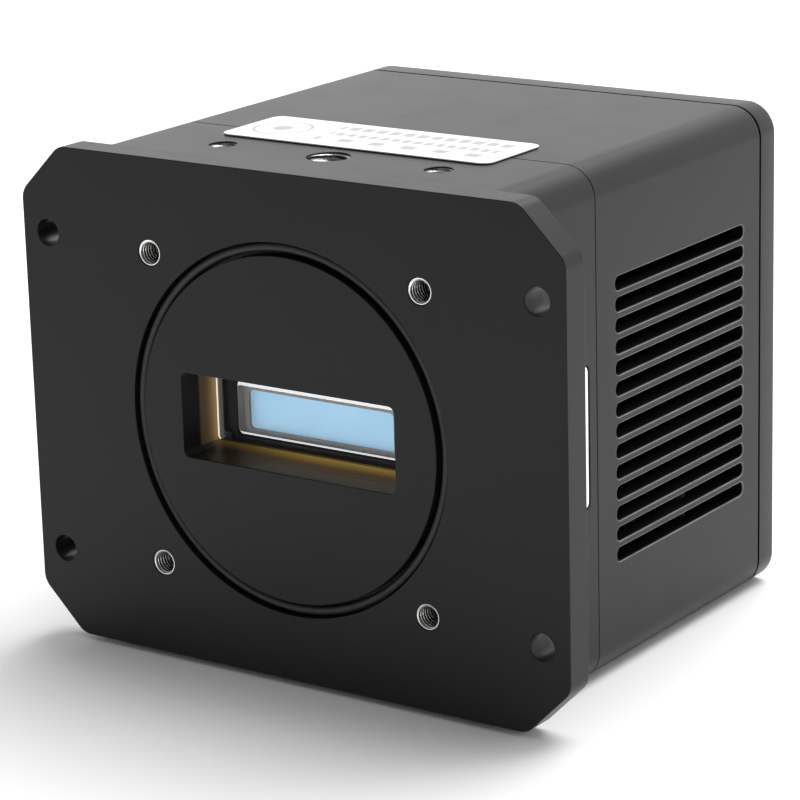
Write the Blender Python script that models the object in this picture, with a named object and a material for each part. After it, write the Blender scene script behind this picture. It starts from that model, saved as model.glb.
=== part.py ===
"""Cooled scientific camera: a square body behind a wider mounting flange.

The flange face looks along -Y, the body runs back along +Y and +Z is up. Every part
is built about the optical axis, with depth measured back from the flange face, and
hangs from one empty that stands the camera on the ground plane.
"""
import math

import bmesh
import bpy
from mathutils import Matrix, Vector

MM = 0.001

# Driving dimensions
FLANGE_WIDTH = 80 * MM
FLANGE_HEIGHT = 64 * MM
BODY_WIDTH = 63.4 * MM
BODY_HEIGHT = 64.7 * MM
BODY_TOP = FLANGE_HEIGHT / 2
BODY_MIDDLE = BODY_TOP - BODY_HEIGHT / 2
DEPTH = 65 * MM
FLANGE_DEPTH = 4 * MM
FRONT_SEAM = 20 * MM
REAR_SEAM = 60.5 * MM
CORNER_RADIUS = 4 * MM
WALL = 2.5 * MM
GAP = 0.3 * MM

# Flange face
FLANGE_CHAMFER = 6.2 * MM
FLANGE_FILLET = 3 * MM
EDGE_BREAK = 0.25 * MM
FLANGE_HOLE = (36.1 * MM, 20.8 * MM, 1.7 * MM)
INSERT_SPACING = 20 * MM
INSERT_BORE = 1.25 * MM
INSERT_RADIUS = 1.6 * MM
INSERT_START = 0.15 * MM
INSERT_DEPTH = 6.5 * MM
GROOVE_INNER = 21.8 * MM
GROOVE_OUTER = 23.45 * MM
GROOVE_DEPTH = 1.8 * MM
RING_SECTION = 0.68 * MM

# Top face of the front housing
TOP_HOLE_DEPTH = 10.5 * MM
TRIPOD_HOLE = 2.55 * MM
SMALL_HOLE = 1.65 * MM
SMALL_HOLE_OFFSET = 16 * MM
LABEL_SIZE = (40 * MM, 12.5 * MM, 0.15 * MM)
LABEL_DEPTH = 14.9 * MM
LABEL_LIFT = 0.1 * MM
LIGHT_LENGTH = 17.8 * MM
LIGHT_WIDTH = 1.7 * MM
LIGHT_DEPTH = 17.3 * MM
LIGHT_DROP = 0.6 * MM

# Sensor chamber
POCKET = (31.8 * MM, 10.8 * MM)
POCKET_WALL = 3.3 * MM
CHAMBER_HALF = 22.8 * MM
CHAMBER_START = 9 * MM
SEAT_HALF = (18.5 * MM, 8 * MM)
SENSOR_DROP = 0.35 * MM
BOARD_DEPTH = 10.5 * MM
BOARD_THICKNESS = 1.6 * MM
COOLER_SIZE = 30 * MM

# Body and cooling
VENT_COUNT = 14
VENT_PITCH = 2.64 * MM
VENT_HEIGHT = 1.8 * MM
VENT_START = 24.5 * MM
VENT_END = 56.3 * MM
VENT_FILLET = 0.6 * MM
PILLAR = 8 * MM
SINK_FRONT = FRONT_SEAM + 1.2 * MM
SINK_BACK = SINK_FRONT + 3.4 * MM
FIN_COUNT = 15
FIN_THICKNESS = 0.9 * MM
FIN_BOTTOM = -15 * MM
FIN_END = 50.5 * MM
FIN_HALF_WIDTH = 28.5 * MM

# Fan
FAN_SIZE = 40 * MM
FAN_LENGTH = 10 * MM
FAN_HEIGHT = 5.5 * MM
FAN_BORE = 19 * MM
FAN_HOLE_OFFSET = 16 * MM
FAN_FLOOR = 2 * MM
BLADE_COUNT = 7
BLADE_TIP = 18.3 * MM
HUB_RADIUS = 8.5 * MM

# Rear cover and electronics
COVER_PLATE = 2.4 * MM
PLATE_START = DEPTH - COVER_PLATE
FAN_END = PLATE_START - GAP
FAN_START = FAN_END - FAN_LENGTH
GRILLE_RINGS = ((6.4 * MM, 9 * MM), (10.4 * MM, 13 * MM), (14.4 * MM, 17 * MM))
MAIN_BOARD_TOP = -26.2 * MM
MAIN_BOARD = (46.4 * MM, 28.5 * MM, 60 * MM)
PORT_FACE = DEPTH - 0.4 * MM
PORT_BOTTOM = MAIN_BOARD_TOP + GAP

# Fasteners: M3 all through
SCREW_RADIUS = 1.5 * MM
SCREW_HOLE = 1.8 * MM
HEAD_RADIUS = 2.75 * MM
HEAD_POCKET = 3.05 * MM
TIE_OFFSET = BODY_TOP - CORNER_RADIUS
TIE_TIP = 12 * MM
SINK_SCREW = (14 * MM, 26.2 * MM)

MERGE = 0.00001
CORNERS = ((-1, 1), (1, 1), (1, -1), (-1, -1))


def clear_scene():
    for old in list(bpy.data.objects):
        bpy.data.objects.remove(old, do_unlink=True)


def make_finish(name, colour, roughness, metallic=0.0):
    finish = bpy.data.materials.new(name)
    finish.use_nodes = True
    shader = finish.node_tree.nodes["Principled BSDF"]
    shader.inputs["Base Color"].default_value = (*colour, 1)
    shader.inputs["Roughness"].default_value = roughness
    shader.inputs["Metallic"].default_value = metallic
    finish.diffuse_color = (*colour, 1)
    return finish


def make_stand():
    """The empty that every part hangs from: the optical axis at the flange face."""
    stand = bpy.data.objects.new("optical_axis", None)
    stand.location = (0, -DEPTH / 2, BODY_HEIGHT - BODY_TOP)
    bpy.context.collection.objects.link(stand)
    return stand


# ---- Outlines in the (x, z) plane ----


def rounded(corners, radius, steps=4):
    """A closed outline through the corners, each replaced by an arc of the radius."""
    corners = [Vector(corner) for corner in corners]
    points = []
    for index, corner in enumerate(corners):
        back = (corners[index - 1] - corner).normalized()
        ahead = (corners[(index + 1) % len(corners)] - corner).normalized()
        half = back.angle(ahead) / 2
        centre = corner + (back + ahead).normalized() * (radius / math.sin(half))
        spoke = corner + back * (radius / math.tan(half)) - centre
        turn = math.pi - 2 * half
        if back.x * ahead.y - back.y * ahead.x > 0:
            turn = -turn
        for step in range(steps + 1):
            angle = turn * step / steps
            cosine, sine = math.cos(angle), math.sin(angle)
            points.append((
                centre.x + spoke.x * cosine - spoke.y * sine,
                centre.y + spoke.x * sine + spoke.y * cosine,
            ))
    return points


def rectangle(width, height, centre=(0, 0)):
    x, z = centre
    return [
        (x - width / 2, z - height / 2),
        (x + width / 2, z - height / 2),
        (x + width / 2, z + height / 2),
        (x - width / 2, z + height / 2),
    ]


def cross(arm, waist):
    """A square of half-size arm with its corners cut back to the waist."""
    return [
        (-waist, -arm), (waist, -arm), (waist, -waist), (arm, -waist),
        (arm, waist), (waist, waist), (waist, arm), (-waist, arm),
        (-waist, waist), (-arm, waist), (-arm, -waist), (-waist, -waist),
    ]


def circle(radius, centre=(0, 0), steps=24):
    return [
        (
            centre[0] + radius * math.cos(math.tau * step / steps),
            centre[1] + radius * math.sin(math.tau * step / steps),
        )
        for step in range(steps)
    ]


def sector(inner, outer, start, end, centre, steps=5):
    """A piece of a ring between two radii and two angles."""
    points = []
    for radius, first, last in ((outer, start, end), (inner, end, start)):
        for step in range(steps + 1):
            angle = first + (last - first) * step / steps
            points.append((
                centre[0] + radius * math.cos(angle),
                centre[1] + radius * math.sin(angle),
            ))
    return points


def flange_outline(inset):
    """The flange: a rectangle with cut corners, its eight corners eased."""
    x = FLANGE_WIDTH / 2 - inset
    z = BODY_TOP - inset
    cut = FLANGE_CHAMFER - inset * (2 - math.sqrt(2))
    corners = [
        (-x + cut, -z), (x - cut, -z), (x, -z + cut), (x, z - cut),
        (x - cut, z), (-x + cut, z), (-x, z - cut), (-x, -z + cut),
    ]
    return rounded(corners, FLANGE_FILLET, 2)


def body_outline(inset):
    """The body's section, which reaches a little lower than the flange."""
    width = BODY_WIDTH - 2 * inset
    height = BODY_HEIGHT - 2 * inset
    return rounded(rectangle(width, height, (0, BODY_MIDDLE)), CORNER_RADIUS - inset, 4)


# ---- Solids ----


def loft(sections):
    """A closed solid through outlines standing at the given depths."""
    solid = bmesh.new()
    rings = [
        [solid.verts.new((x, depth, z)) for x, z in outline]
        for depth, outline in sections
    ]
    for near, far in zip(rings, rings[1:]):
        for index in range(len(near)):
            after = (index + 1) % len(near)
            solid.faces.new((near[index], near[after], far[after], far[index]))
    solid.faces.new(rings[0])
    solid.faces.new(rings[-1])
    bmesh.ops.recalc_face_normals(solid, faces=solid.faces)
    return solid


def prism(outline, near, far):
    return loft([(near, outline), (far, outline)])


def block(x, depth, z):
    """A box between the given (low, high) pairs."""
    outline = [(x[0], z[0]), (x[1], z[0]), (x[1], z[1]), (x[0], z[1])]
    return prism(outline, *depth)


def turned(profile, steps=24):
    """A profile of (radius, depth) points turned about the depth axis."""
    solid = bmesh.new()
    verts = [solid.verts.new((radius, depth, 0)) for radius, depth in profile]
    edges = [solid.edges.new(pair) for pair in zip(verts, verts[1:])]
    if profile[0][0] > 0:
        edges.append(solid.edges.new((verts[-1], verts[0])))
    bmesh.ops.spin(
        solid, geom=verts + edges, axis=(0, 1, 0), cent=(0, 0, 0),
        angle=math.tau, steps=steps, use_merge=True,
    )
    bmesh.ops.remove_doubles(solid, verts=solid.verts, dist=MERGE)
    bmesh.ops.recalc_face_normals(solid, faces=solid.faces)
    return solid


def tube(inner, outer, near, far, steps=24):
    return turned([(outer, near), (outer, far), (inner, far), (inner, near)], steps)


def moved(solid, x=0.0, depth=0.0, z=0.0):
    bmesh.ops.translate(solid, verts=solid.verts, vec=(x, depth, z))
    return solid


def joined(solids):
    """Several separate solids as one mesh, for a cutter or a union."""
    whole = bmesh.new()
    for solid in solids:
        piece = bpy.data.meshes.new("piece")
        solid.to_mesh(piece)
        solid.free()
        whole.from_mesh(piece)
        bpy.data.meshes.remove(piece)
    return whole


def at_corners(outline_at, x, z, near, far):
    """One prism at each of the four corners (+-x, +-z)."""
    return joined([
        prism(outline_at((side * x, rise * z)), near, far)
        for side, rise in CORNERS
    ])


# ---- Objects ----


def add(name, solid, finish, stand, location=(0, 0, 0), smooth=False):
    mesh = bpy.data.meshes.new(name)
    solid.to_mesh(mesh)
    solid.free()
    mesh.materials.append(finish)
    if smooth:
        mesh.shade_smooth()
        mesh.set_sharp_from_angle(angle=math.radians(30))
    part = bpy.data.objects.new(name, mesh)
    bpy.context.collection.objects.link(part)
    part.parent = stand
    part.location = location
    return part


def combine(part, name, solid, operation):
    """Cut a solid out of the part, or weld it on, with a live Boolean."""
    mesh = bpy.data.meshes.new(name)
    solid.to_mesh(mesh)
    solid.free()
    guide = bpy.data.objects.new(name, mesh)
    bpy.context.collection.objects.link(guide)
    guide.parent = part
    guide.hide_render = True
    guide.display_type = "WIRE"
    boolean = part.modifiers.new(name, "BOOLEAN")
    boolean.operation = operation
    boolean.solver = "EXACT"
    boolean.object = guide


def cut(part, name, solid):
    combine(part, name, solid, "DIFFERENCE")


def weld(part, name, solid):
    combine(part, name, solid, "UNION")


def upright(solid, x, depth, z):
    """Turn a solid made along the depth axis to stand along Z, then place it."""
    bmesh.ops.rotate(solid, verts=solid.verts, matrix=Matrix.Rotation(math.pi / 2, 3, "X"))
    return moved(solid, x, depth, z)


def sideways(solid, x, depth, z):
    """Turn a solid made along the depth axis to point along X, then place it."""
    bmesh.ops.rotate(solid, verts=solid.verts, matrix=Matrix.Rotation(-math.pi / 2, 3, "Z"))
    return moved(solid, x, depth, z)


# ---- Casing ----


def light_outline(clearance):
    width = LIGHT_WIDTH + 2 * clearance
    length = LIGHT_LENGTH + 2 * clearance
    return rounded(rectangle(width, length), width * 0.49, 5)


def make_front_housing(stand, finish):
    """Flange and chamber block in one piece, open at the back."""
    half = BODY_TOP
    flange = loft([
        (0, flange_outline(EDGE_BREAK)),
        (EDGE_BREAK, flange_outline(0)),
        (FLANGE_DEPTH, flange_outline(0)),
    ])
    housing = add("front_housing", flange, finish, stand)
    chamber_block = loft([
        (FLANGE_DEPTH, body_outline(0)),
        (FRONT_SEAM - EDGE_BREAK, body_outline(0)),
        (FRONT_SEAM, body_outline(EDGE_BREAK)),
    ])
    weld(housing, "chamber_block", chamber_block)

    opening = rounded(rectangle(*POCKET), 0.8 * MM, 3)
    seat = rectangle(2 * SEAT_HALF[0], 2 * SEAT_HALF[1])
    chamber = rounded(rectangle(2 * CHAMBER_HALF, 2 * CHAMBER_HALF), 3 * MM)
    cut(housing, "pocket_opening", prism(opening, -MM, POCKET_WALL + MM))
    cut(housing, "window_seat", prism(seat, POCKET_WALL, CHAMBER_START + MM))
    cut(housing, "chamber", prism(chamber, CHAMBER_START, FRONT_SEAM + MM))
    cut(housing, "ring_groove", tube(GROOVE_INNER, GROOVE_OUTER, -MM, GROOVE_DEPTH, 48))

    hole_x, hole_z, hole_radius = FLANGE_HOLE
    holes = at_corners(lambda at: circle(hole_radius, at, 16), hole_x, hole_z, -MM, FLANGE_DEPTH + MM)
    cut(housing, "flange_holes", holes)
    insert_hole = INSERT_RADIUS + 0.15 * MM
    holes = at_corners(
        lambda at: circle(insert_hole, at, 16), INSERT_SPACING, INSERT_SPACING, -MM, 7.2 * MM
    )
    cut(housing, "insert_holes", holes)
    holes = at_corners(
        lambda at: circle(SCREW_HOLE, at, 12), TIE_OFFSET, TIE_OFFSET, TIE_TIP - GAP, FRONT_SEAM + MM
    )
    cut(housing, "tie_screw_holes", holes)
    holes = at_corners(
        lambda at: circle(SCREW_HOLE, at, 12), *SINK_SCREW, 13.5 * MM, FRONT_SEAM + MM
    )
    cut(housing, "sink_screw_holes", holes)

    top_holes = [
        upright(prism(circle(radius, steps=16), -7 * MM, MM), x, TOP_HOLE_DEPTH, half)
        for radius, x in (
            (TRIPOD_HOLE, 0), (SMALL_HOLE, -SMALL_HOLE_OFFSET), (SMALL_HOLE, SMALL_HOLE_OFFSET)
        )
    ]
    cut(housing, "top_holes", joined(top_holes))
    slot = prism(light_outline(0.15 * MM), CHAMBER_HALF - MM, half + MM)
    cut(housing, "light_slot", sideways(slot, 0, LIGHT_DEPTH, -LIGHT_DROP))


def make_body_shell(stand, finish):
    """Square sleeve with corner pillars for the tie screws and vents down both sides."""
    start = FRONT_SEAM + GAP
    shell = add("body_shell", loft([
        (start, body_outline(EDGE_BREAK)),
        (start + EDGE_BREAK, body_outline(0)),
        (REAR_SEAM - EDGE_BREAK, body_outline(0)),
        (REAR_SEAM, body_outline(EDGE_BREAK)),
    ]), finish, stand)
    half = BODY_TOP
    cut(shell, "inside", prism(cross(half - WALL, half - PILLAR), start - MM, REAR_SEAM + MM))
    holes = at_corners(
        lambda at: circle(SCREW_HOLE, at, 12), TIE_OFFSET, TIE_OFFSET, start - MM, REAR_SEAM + MM
    )
    cut(shell, "tie_screw_holes", holes)
    middle = (VENT_START + VENT_END) / 2
    vents = []
    for index in range(VENT_COUNT):
        z = BODY_MIDDLE + (index - (VENT_COUNT - 1) / 2) * VENT_PITCH
        outline = rounded(rectangle(VENT_END - VENT_START, VENT_HEIGHT), VENT_FILLET, 1)
        vents.append(sideways(prism(outline, -half - MM, half + MM), 0, middle, z))
    cut(shell, "vents", joined(vents))


def make_rear_cover(stand, finish, ports):
    """Shallow dished plate with the fan grille and the openings for the sockets."""
    start = REAR_SEAM + GAP
    cover = add("rear_cover", loft([
        (start, body_outline(EDGE_BREAK)),
        (start + EDGE_BREAK, body_outline(0)),
        (DEPTH - 2 * EDGE_BREAK, body_outline(0)),
        (DEPTH, body_outline(2 * EDGE_BREAK)),
    ]), finish, stand)
    half = BODY_TOP
    cut(cover, "dish", prism(cross(half - WALL, half - PILLAR), start - MM, PLATE_START))
    spoke = math.radians(8)
    slots = []
    for inner, outer in GRILLE_RINGS:
        for quarter in range(4):
            first = math.tau * quarter / 4 + math.pi / 4
            ease = spoke * GRILLE_RINGS[0][0] / inner
            outline = sector(inner, outer, first + ease, first + math.pi / 2 - ease, (0, FAN_HEIGHT))
            slots.append(prism(outline, PLATE_START - MM, DEPTH + MM))
    cut(cover, "grille", joined(slots))
    openings = [prism(outline, PLATE_START - MM, DEPTH + MM) for outline in ports]
    cut(cover, "port_openings", joined(openings))
    places = (
        ("tie", TIE_OFFSET, TIE_OFFSET, 0, DEPTH - 3 * MM),
        ("fan", FAN_HOLE_OFFSET, FAN_HOLE_OFFSET, FAN_HEIGHT, DEPTH - 1.4 * MM),
    )
    for name, x, z, rise, floor in places:
        holes = at_corners(lambda at: circle(SCREW_HOLE, at, 12), x, z, start - MM, DEPTH + MM)
        pockets = at_corners(lambda at: circle(HEAD_POCKET, at, 16), x, z, floor, DEPTH + MM)
        cut(cover, name + "_screw_holes", moved(holes, z=rise))
        cut(cover, name + "_head_pockets", moved(pockets, z=rise))


def make_seal_label(stand, finish):
    width, length, thickness = LABEL_SIZE
    outline = rounded(rectangle(width, length), 1.5 * MM, 3)
    label = prism(outline, LABEL_LIFT, LABEL_LIFT + thickness)
    add("seal_label", upright(label, 0, LABEL_DEPTH + length / 2, BODY_TOP), finish, stand)


def make_status_light(stand, finish):
    """Light guide from the sensor board's edge to the right side of the housing."""
    guide = prism(light_outline(0), CHAMBER_HALF, BODY_WIDTH / 2 - 0.05 * MM)
    add("status_light", sideways(guide, 0, LIGHT_DEPTH, -LIGHT_DROP), finish, stand)


def make_thread_inserts(stand, finish):
    """Steel thread sleeves of the four flange-face holes."""
    for index, (side, rise) in enumerate(CORNERS, 1):
        sleeve = turned([
            (INSERT_RADIUS, INSERT_START),
            (INSERT_RADIUS, INSERT_DEPTH),
            (INSERT_BORE, INSERT_DEPTH),
            (INSERT_BORE, INSERT_START + 0.3 * MM),
            (INSERT_RADIUS - 0.1 * MM, INSERT_START),
        ], 16)
        location = (side * INSERT_SPACING, 0, rise * INSERT_SPACING)
        add(f"thread_insert_{index}", sleeve, finish, stand, location, smooth=True)


def make_o_ring(stand, finish):
    middle = (GROOVE_INNER + GROOVE_OUTER) / 2
    profile = [
        (middle + x, GROOVE_DEPTH - RING_SECTION - 0.07 * MM + depth)
        for x, depth in circle(RING_SECTION, steps=6)
    ]
    add("o_ring", turned(profile, 40), finish, stand, smooth=True)


# ---- Sensor and cooler ----


def make_window_and_sensor(stand, finishes):
    centre = (0, -SENSOR_DROP)
    opening = rounded(rectangle(*POCKET), 0.8 * MM, 3)
    frame = prism(rectangle(36.4 * MM, 15.4 * MM), POCKET_WALL + GAP, 6.2 * MM)
    amber = add("window_frame", frame, finishes["polyimide"], stand)
    cut(amber, "frame_opening", prism(opening, POCKET_WALL, 8 * MM))

    lid = rounded(rectangle(31.2 * MM, 9.2 * MM, centre), 0.5 * MM, 2)
    edge = rounded(rectangle(30.8 * MM, 8.8 * MM, centre), 0.3 * MM, 2)
    window = loft([(6.4 * MM, edge), (6.6 * MM, lid), (7.2 * MM, lid)])
    add("sensor_window", window, finishes["glass"], stand)

    bezel_size = (25.6 * MM, 7 * MM)
    outer = rounded(rectangle(*bezel_size, centre), 0.5 * MM, 3)
    eased = rounded(rectangle(25.2 * MM, 6.6 * MM, centre), 0.3 * MM, 3)
    bezel = loft([(7.4 * MM, eased), (7.6 * MM, outer), (7.8 * MM, outer)])
    bezel = add("sensor_bezel", bezel, finishes["steel"], stand)
    hole = rounded(rectangle(21.8 * MM, 5 * MM, centre), 0.4 * MM, 3)
    cut(bezel, "bezel_opening", prism(hole, 7 * MM, 8 * MM))

    die = prism(rectangle(22.8 * MM, 5.8 * MM, centre), 8 * MM, 8.4 * MM)
    add("sensor_die", die, finishes["silicon"], stand)

    package = prism(rectangle(33.4 * MM, 11.4 * MM, centre), 7.4 * MM, BOARD_DEPTH - GAP)
    package = add("sensor_package", package, finishes["ceramic_black"], stand)
    well = rounded(rectangle(26.2 * MM, 7.6 * MM, centre), 0.6 * MM, 3)
    cut(package, "die_well", prism(well, 7 * MM, 8.7 * MM))


def make_sensor_board(stand, finishes):
    size = 2 * CHAMBER_HALF - MM
    outline = rounded(rectangle(size, size), 2.5 * MM, 2)
    board = prism(outline, BOARD_DEPTH, BOARD_DEPTH + BOARD_THICKNESS)
    board = add("sensor_board", board, finishes["board"], stand)
    slot = rectangle(23.2 * MM, 7.8 * MM, (0, -SENSOR_DROP))
    cut(board, "cold_finger_slot", prism(slot, BOARD_DEPTH - MM, BOARD_DEPTH + 3 * MM))

    nose = rectangle(22.4 * MM, 7 * MM, (0, -SENSOR_DROP))
    finger = prism(nose, BOARD_DEPTH, 13.2 * MM)
    finger = add("cold_finger", finger, finishes["copper"], stand)
    half = COOLER_SIZE / 2
    weld(finger, "spreader", block((-half, half), (12.6 * MM, 14.6 * MM), (-half, half)))

    foam_outer = rounded(rectangle(44 * MM, 39.6 * MM, (0, 2.2 * MM)), 2.8 * MM, 2)
    foam = add("foam_insulator", prism(foam_outer, 12.5 * MM, 18 * MM), finishes["foam"], stand)
    cut(foam, "foam_opening", prism(rectangle(31.2 * MM, 31.2 * MM), 12 * MM, 19 * MM))


def make_cooler(stand, finishes):
    """Thermoelectric cooler: two ceramic plates with a field of pellets between them."""
    half = COOLER_SIZE / 2
    plate = (-half, half)
    add("tec_cold_plate", block(plate, (14.8 * MM, 15.5 * MM), plate), finishes["ceramic_white"], stand)
    add("tec_hot_plate", block(plate, (17.5 * MM, 18.2 * MM), plate), finishes["ceramic_white"], stand)

    inner = (-half + 0.6 * MM, half - 0.6 * MM)
    links = joined([
        block(inner, (15.7 * MM, 15.95 * MM), inner),
        block(inner, (17.05 * MM, 17.3 * MM), inner),
    ])
    pellets = add("tec_pellets", links, finishes["pellet"], stand)
    count = 5
    pitch = (inner[1] - inner[0]) / count
    size = pitch * 0.55
    posts = []
    for column in range(count):
        for row in range(count):
            x = inner[0] + pitch * (column + 0.5)
            z = inner[0] + pitch * (row + 0.5)
            posts.append(prism(rectangle(size, size, (x, z)), 15.8 * MM, 17.2 * MM))
    weld(pellets, "pellet_field", joined(posts))


def make_heat_sink(stand, finishes):
    """Base that closes the chamber, with level fins running back from it."""
    arm = BODY_TOP - WALL - GAP
    waist = BODY_TOP - PILLAR - 0.4 * MM
    base = prism(cross(arm, waist), SINK_FRONT, SINK_BACK)
    sink = add("heat_sink", base, finishes["anodised"], stand)
    pad = 16 * MM
    weld(sink, "cooler_pad", block((-pad, pad), (18.4 * MM, SINK_FRONT + MM), (-pad, pad)))

    root = SINK_BACK - MM
    comb = [(root, FIN_BOTTOM)]
    for index in range(FIN_COUNT):
        bottom = FIN_BOTTOM + index * VENT_PITCH
        if index:
            comb.append((SINK_BACK, bottom))
        comb.append((FIN_END, bottom))
        comb.append((FIN_END, bottom + FIN_THICKNESS))
        if index < FIN_COUNT - 1:
            comb.append((SINK_BACK, bottom + FIN_THICKNESS))
    comb.append((root, comb[-1][1]))
    fins = prism([(-depth, z) for depth, z in comb], -FIN_HALF_WIDTH, FIN_HALF_WIDTH)
    weld(sink, "fins", sideways(fins, 0, 0, 0))

    holes = at_corners(
        lambda at: circle(SCREW_HOLE, at, 12), *SINK_SCREW, SINK_FRONT - MM, SINK_BACK + MM
    )
    cut(sink, "screw_holes", holes)
    cable_slot = block((-8.6 * MM, 8.6 * MM), (SINK_FRONT - MM, SINK_BACK + MM), (-22 * MM, -20 * MM))
    cut(sink, "cable_slot", cable_slot)

    ring = prism(rounded(rectangle(48.4 * MM, 48.4 * MM), 4 * MM), FRONT_SEAM + GAP, SINK_FRONT - GAP)
    gasket = add("chamber_gasket", ring, finishes["rubber"], stand)
    inside = rounded(rectangle(46 * MM, 46 * MM), 3 * MM)
    cut(gasket, "gasket_opening", prism(inside, FRONT_SEAM - MM, SINK_FRONT + MM))


# ---- Fan ----


def make_fan_frame(stand, finishes):
    """Square frame whose front floor carries the motor on four struts."""
    middle = (0, FAN_HEIGHT)
    outline = rounded(rectangle(FAN_SIZE, FAN_SIZE, middle), 3 * MM, 3)
    frame = add("fan_frame", prism(outline, FAN_START, FAN_END), finishes["black_plastic"], stand)
    floor = FAN_START + FAN_FLOOR
    cut(frame, "bore", prism(circle(FAN_BORE, middle, 32), floor, FAN_END + MM))
    windows = []
    ease = math.radians(6)
    for quarter in range(4):
        first = math.tau * quarter / 4 + ease
        outline = sector(HUB_RADIUS + MM, FAN_BORE, first, first + math.pi / 2 - 2 * ease, middle, 6)
        windows.append(prism(outline, FAN_START - MM, floor + 0.5 * MM))
    cut(frame, "windows", joined(windows))
    holes = at_corners(
        lambda at: circle(SCREW_HOLE, at, 12),
        FAN_HOLE_OFFSET, FAN_HOLE_OFFSET, FAN_START - MM, FAN_END + MM,
    )
    cut(frame, "corner_holes", moved(holes, z=FAN_HEIGHT))
    cut(frame, "bearing_seat", prism(circle(2.7 * MM, middle), FAN_START - MM, floor + MM))


def blade(angle, near, far):
    """One pitched blade: a swept plate from inside the hub wall to the tip."""
    solid = bmesh.new()
    radial_steps = 3
    chord_steps = 3
    thickness = 0.9 * MM
    faces = []
    for side in (-0.5, 0.5):
        grid = []
        for ring in range(radial_steps + 1):
            share = ring / radial_steps
            radius = HUB_RADIUS - 0.4 * MM + share * (BLADE_TIP - HUB_RADIUS + 0.4 * MM)
            row = []
            for step in range(chord_steps + 1):
                along = step / chord_steps
                sweep = math.radians(34) * (along - 0.5) + math.radians(10) * share
                offset = side * thickness / radius
                turn = angle + sweep + offset
                depth = near + (far - near) * along
                row.append(solid.verts.new((radius * math.cos(turn), depth, radius * math.sin(turn))))
            grid.append(row)
        faces.append(grid)
    front, back = faces
    for ring in range(radial_steps):
        for step in range(chord_steps):
            for grid in (front, back):
                solid.faces.new((
                    grid[ring][step], grid[ring][step + 1],
                    grid[ring + 1][step + 1], grid[ring + 1][step],
                ))
    border = [(0, step) for step in range(chord_steps)]
    border += [(ring, chord_steps) for ring in range(radial_steps)]
    border += [(radial_steps, chord_steps - step) for step in range(chord_steps)]
    border += [(radial_steps - ring, 0) for ring in range(radial_steps)]
    for index, (ring, step) in enumerate(border):
        next_ring, next_step = border[(index + 1) % len(border)]
        solid.faces.new((
            front[ring][step], front[next_ring][next_step],
            back[next_ring][next_step], back[ring][step],
        ))
    bmesh.ops.recalc_face_normals(solid, faces=solid.faces)
    return solid


def make_fan_rotor(stand, finishes):
    """Everything that turns: cup with blades, magnet ring and shaft, about its own axis."""
    origin = Vector((0, (FAN_START + FAN_END) / 2, FAN_HEIGHT))
    low = FAN_START + FAN_FLOOR + 0.6 * MM - origin.y
    high = FAN_END - 0.6 * MM - origin.y
    cup = turned([
        (0, high), (HUB_RADIUS - 0.6 * MM, high), (HUB_RADIUS, high - 0.6 * MM), (HUB_RADIUS, low),
        (HUB_RADIUS - 0.9 * MM, low), (HUB_RADIUS - 0.9 * MM, high - 1.2 * MM), (0, high - 1.2 * MM),
    ], 24)
    rotor = add("fan_rotor", cup, finishes["black_plastic"], stand, origin, smooth=True)
    blades = [
        blade(math.tau * index / BLADE_COUNT, low + 0.3 * MM, high - 0.3 * MM)
        for index in range(BLADE_COUNT)
    ]
    weld(rotor, "blades", joined(blades))

    magnet = tube(6.5 * MM, 7.4 * MM, low + GAP, high - 1.5 * MM, 18)
    add("fan_magnet", magnet, finishes["ferrite"], stand, origin, smooth=True)
    tip = low - 1.9 * MM
    shaft = turned([(0, high - 1.5 * MM), (MM, high - 1.5 * MM), (MM, tip), (0, tip)], 12)
    add("fan_shaft", shaft, finishes["steel"], stand, origin, smooth=True)

    bearing = tube(1.35 * MM, 2.4 * MM, low - 2.3 * MM, high - 2.1 * MM, 12)
    add("fan_bearing", bearing, finishes["bronze"], stand, origin, smooth=True)
    stator = tube(2.8 * MM, 5.9 * MM, low - GAP, high - 2.2 * MM, 18)
    add("fan_stator", stator, finishes["copper"], stand, origin, smooth=True)


# ---- Electronics ----


def stand_on_board(x, depth, height):
    """A component's box, resting on the main board."""
    return block(x, depth, (PORT_BOTTOM, PORT_BOTTOM + height))


def port_outlines():
    """The rear cover's openings, a little larger than each socket."""
    slack = 0.8 * MM
    usb = rectangle(12 * MM + slack, 10.4 * MM + slack, (-14 * MM, PORT_BOTTOM + 5.2 * MM))
    power = rectangle(9 * MM + slack, 10.8 * MM + slack, (14.5 * MM, PORT_BOTTOM + 5.4 * MM))
    trigger = rectangle(7 * MM + slack, 6.4 * MM + slack, (MM, PORT_BOTTOM + 3.2 * MM))
    return [rounded(outline, 0.6 * MM, 2) for outline in (usb, power, trigger)]


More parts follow.
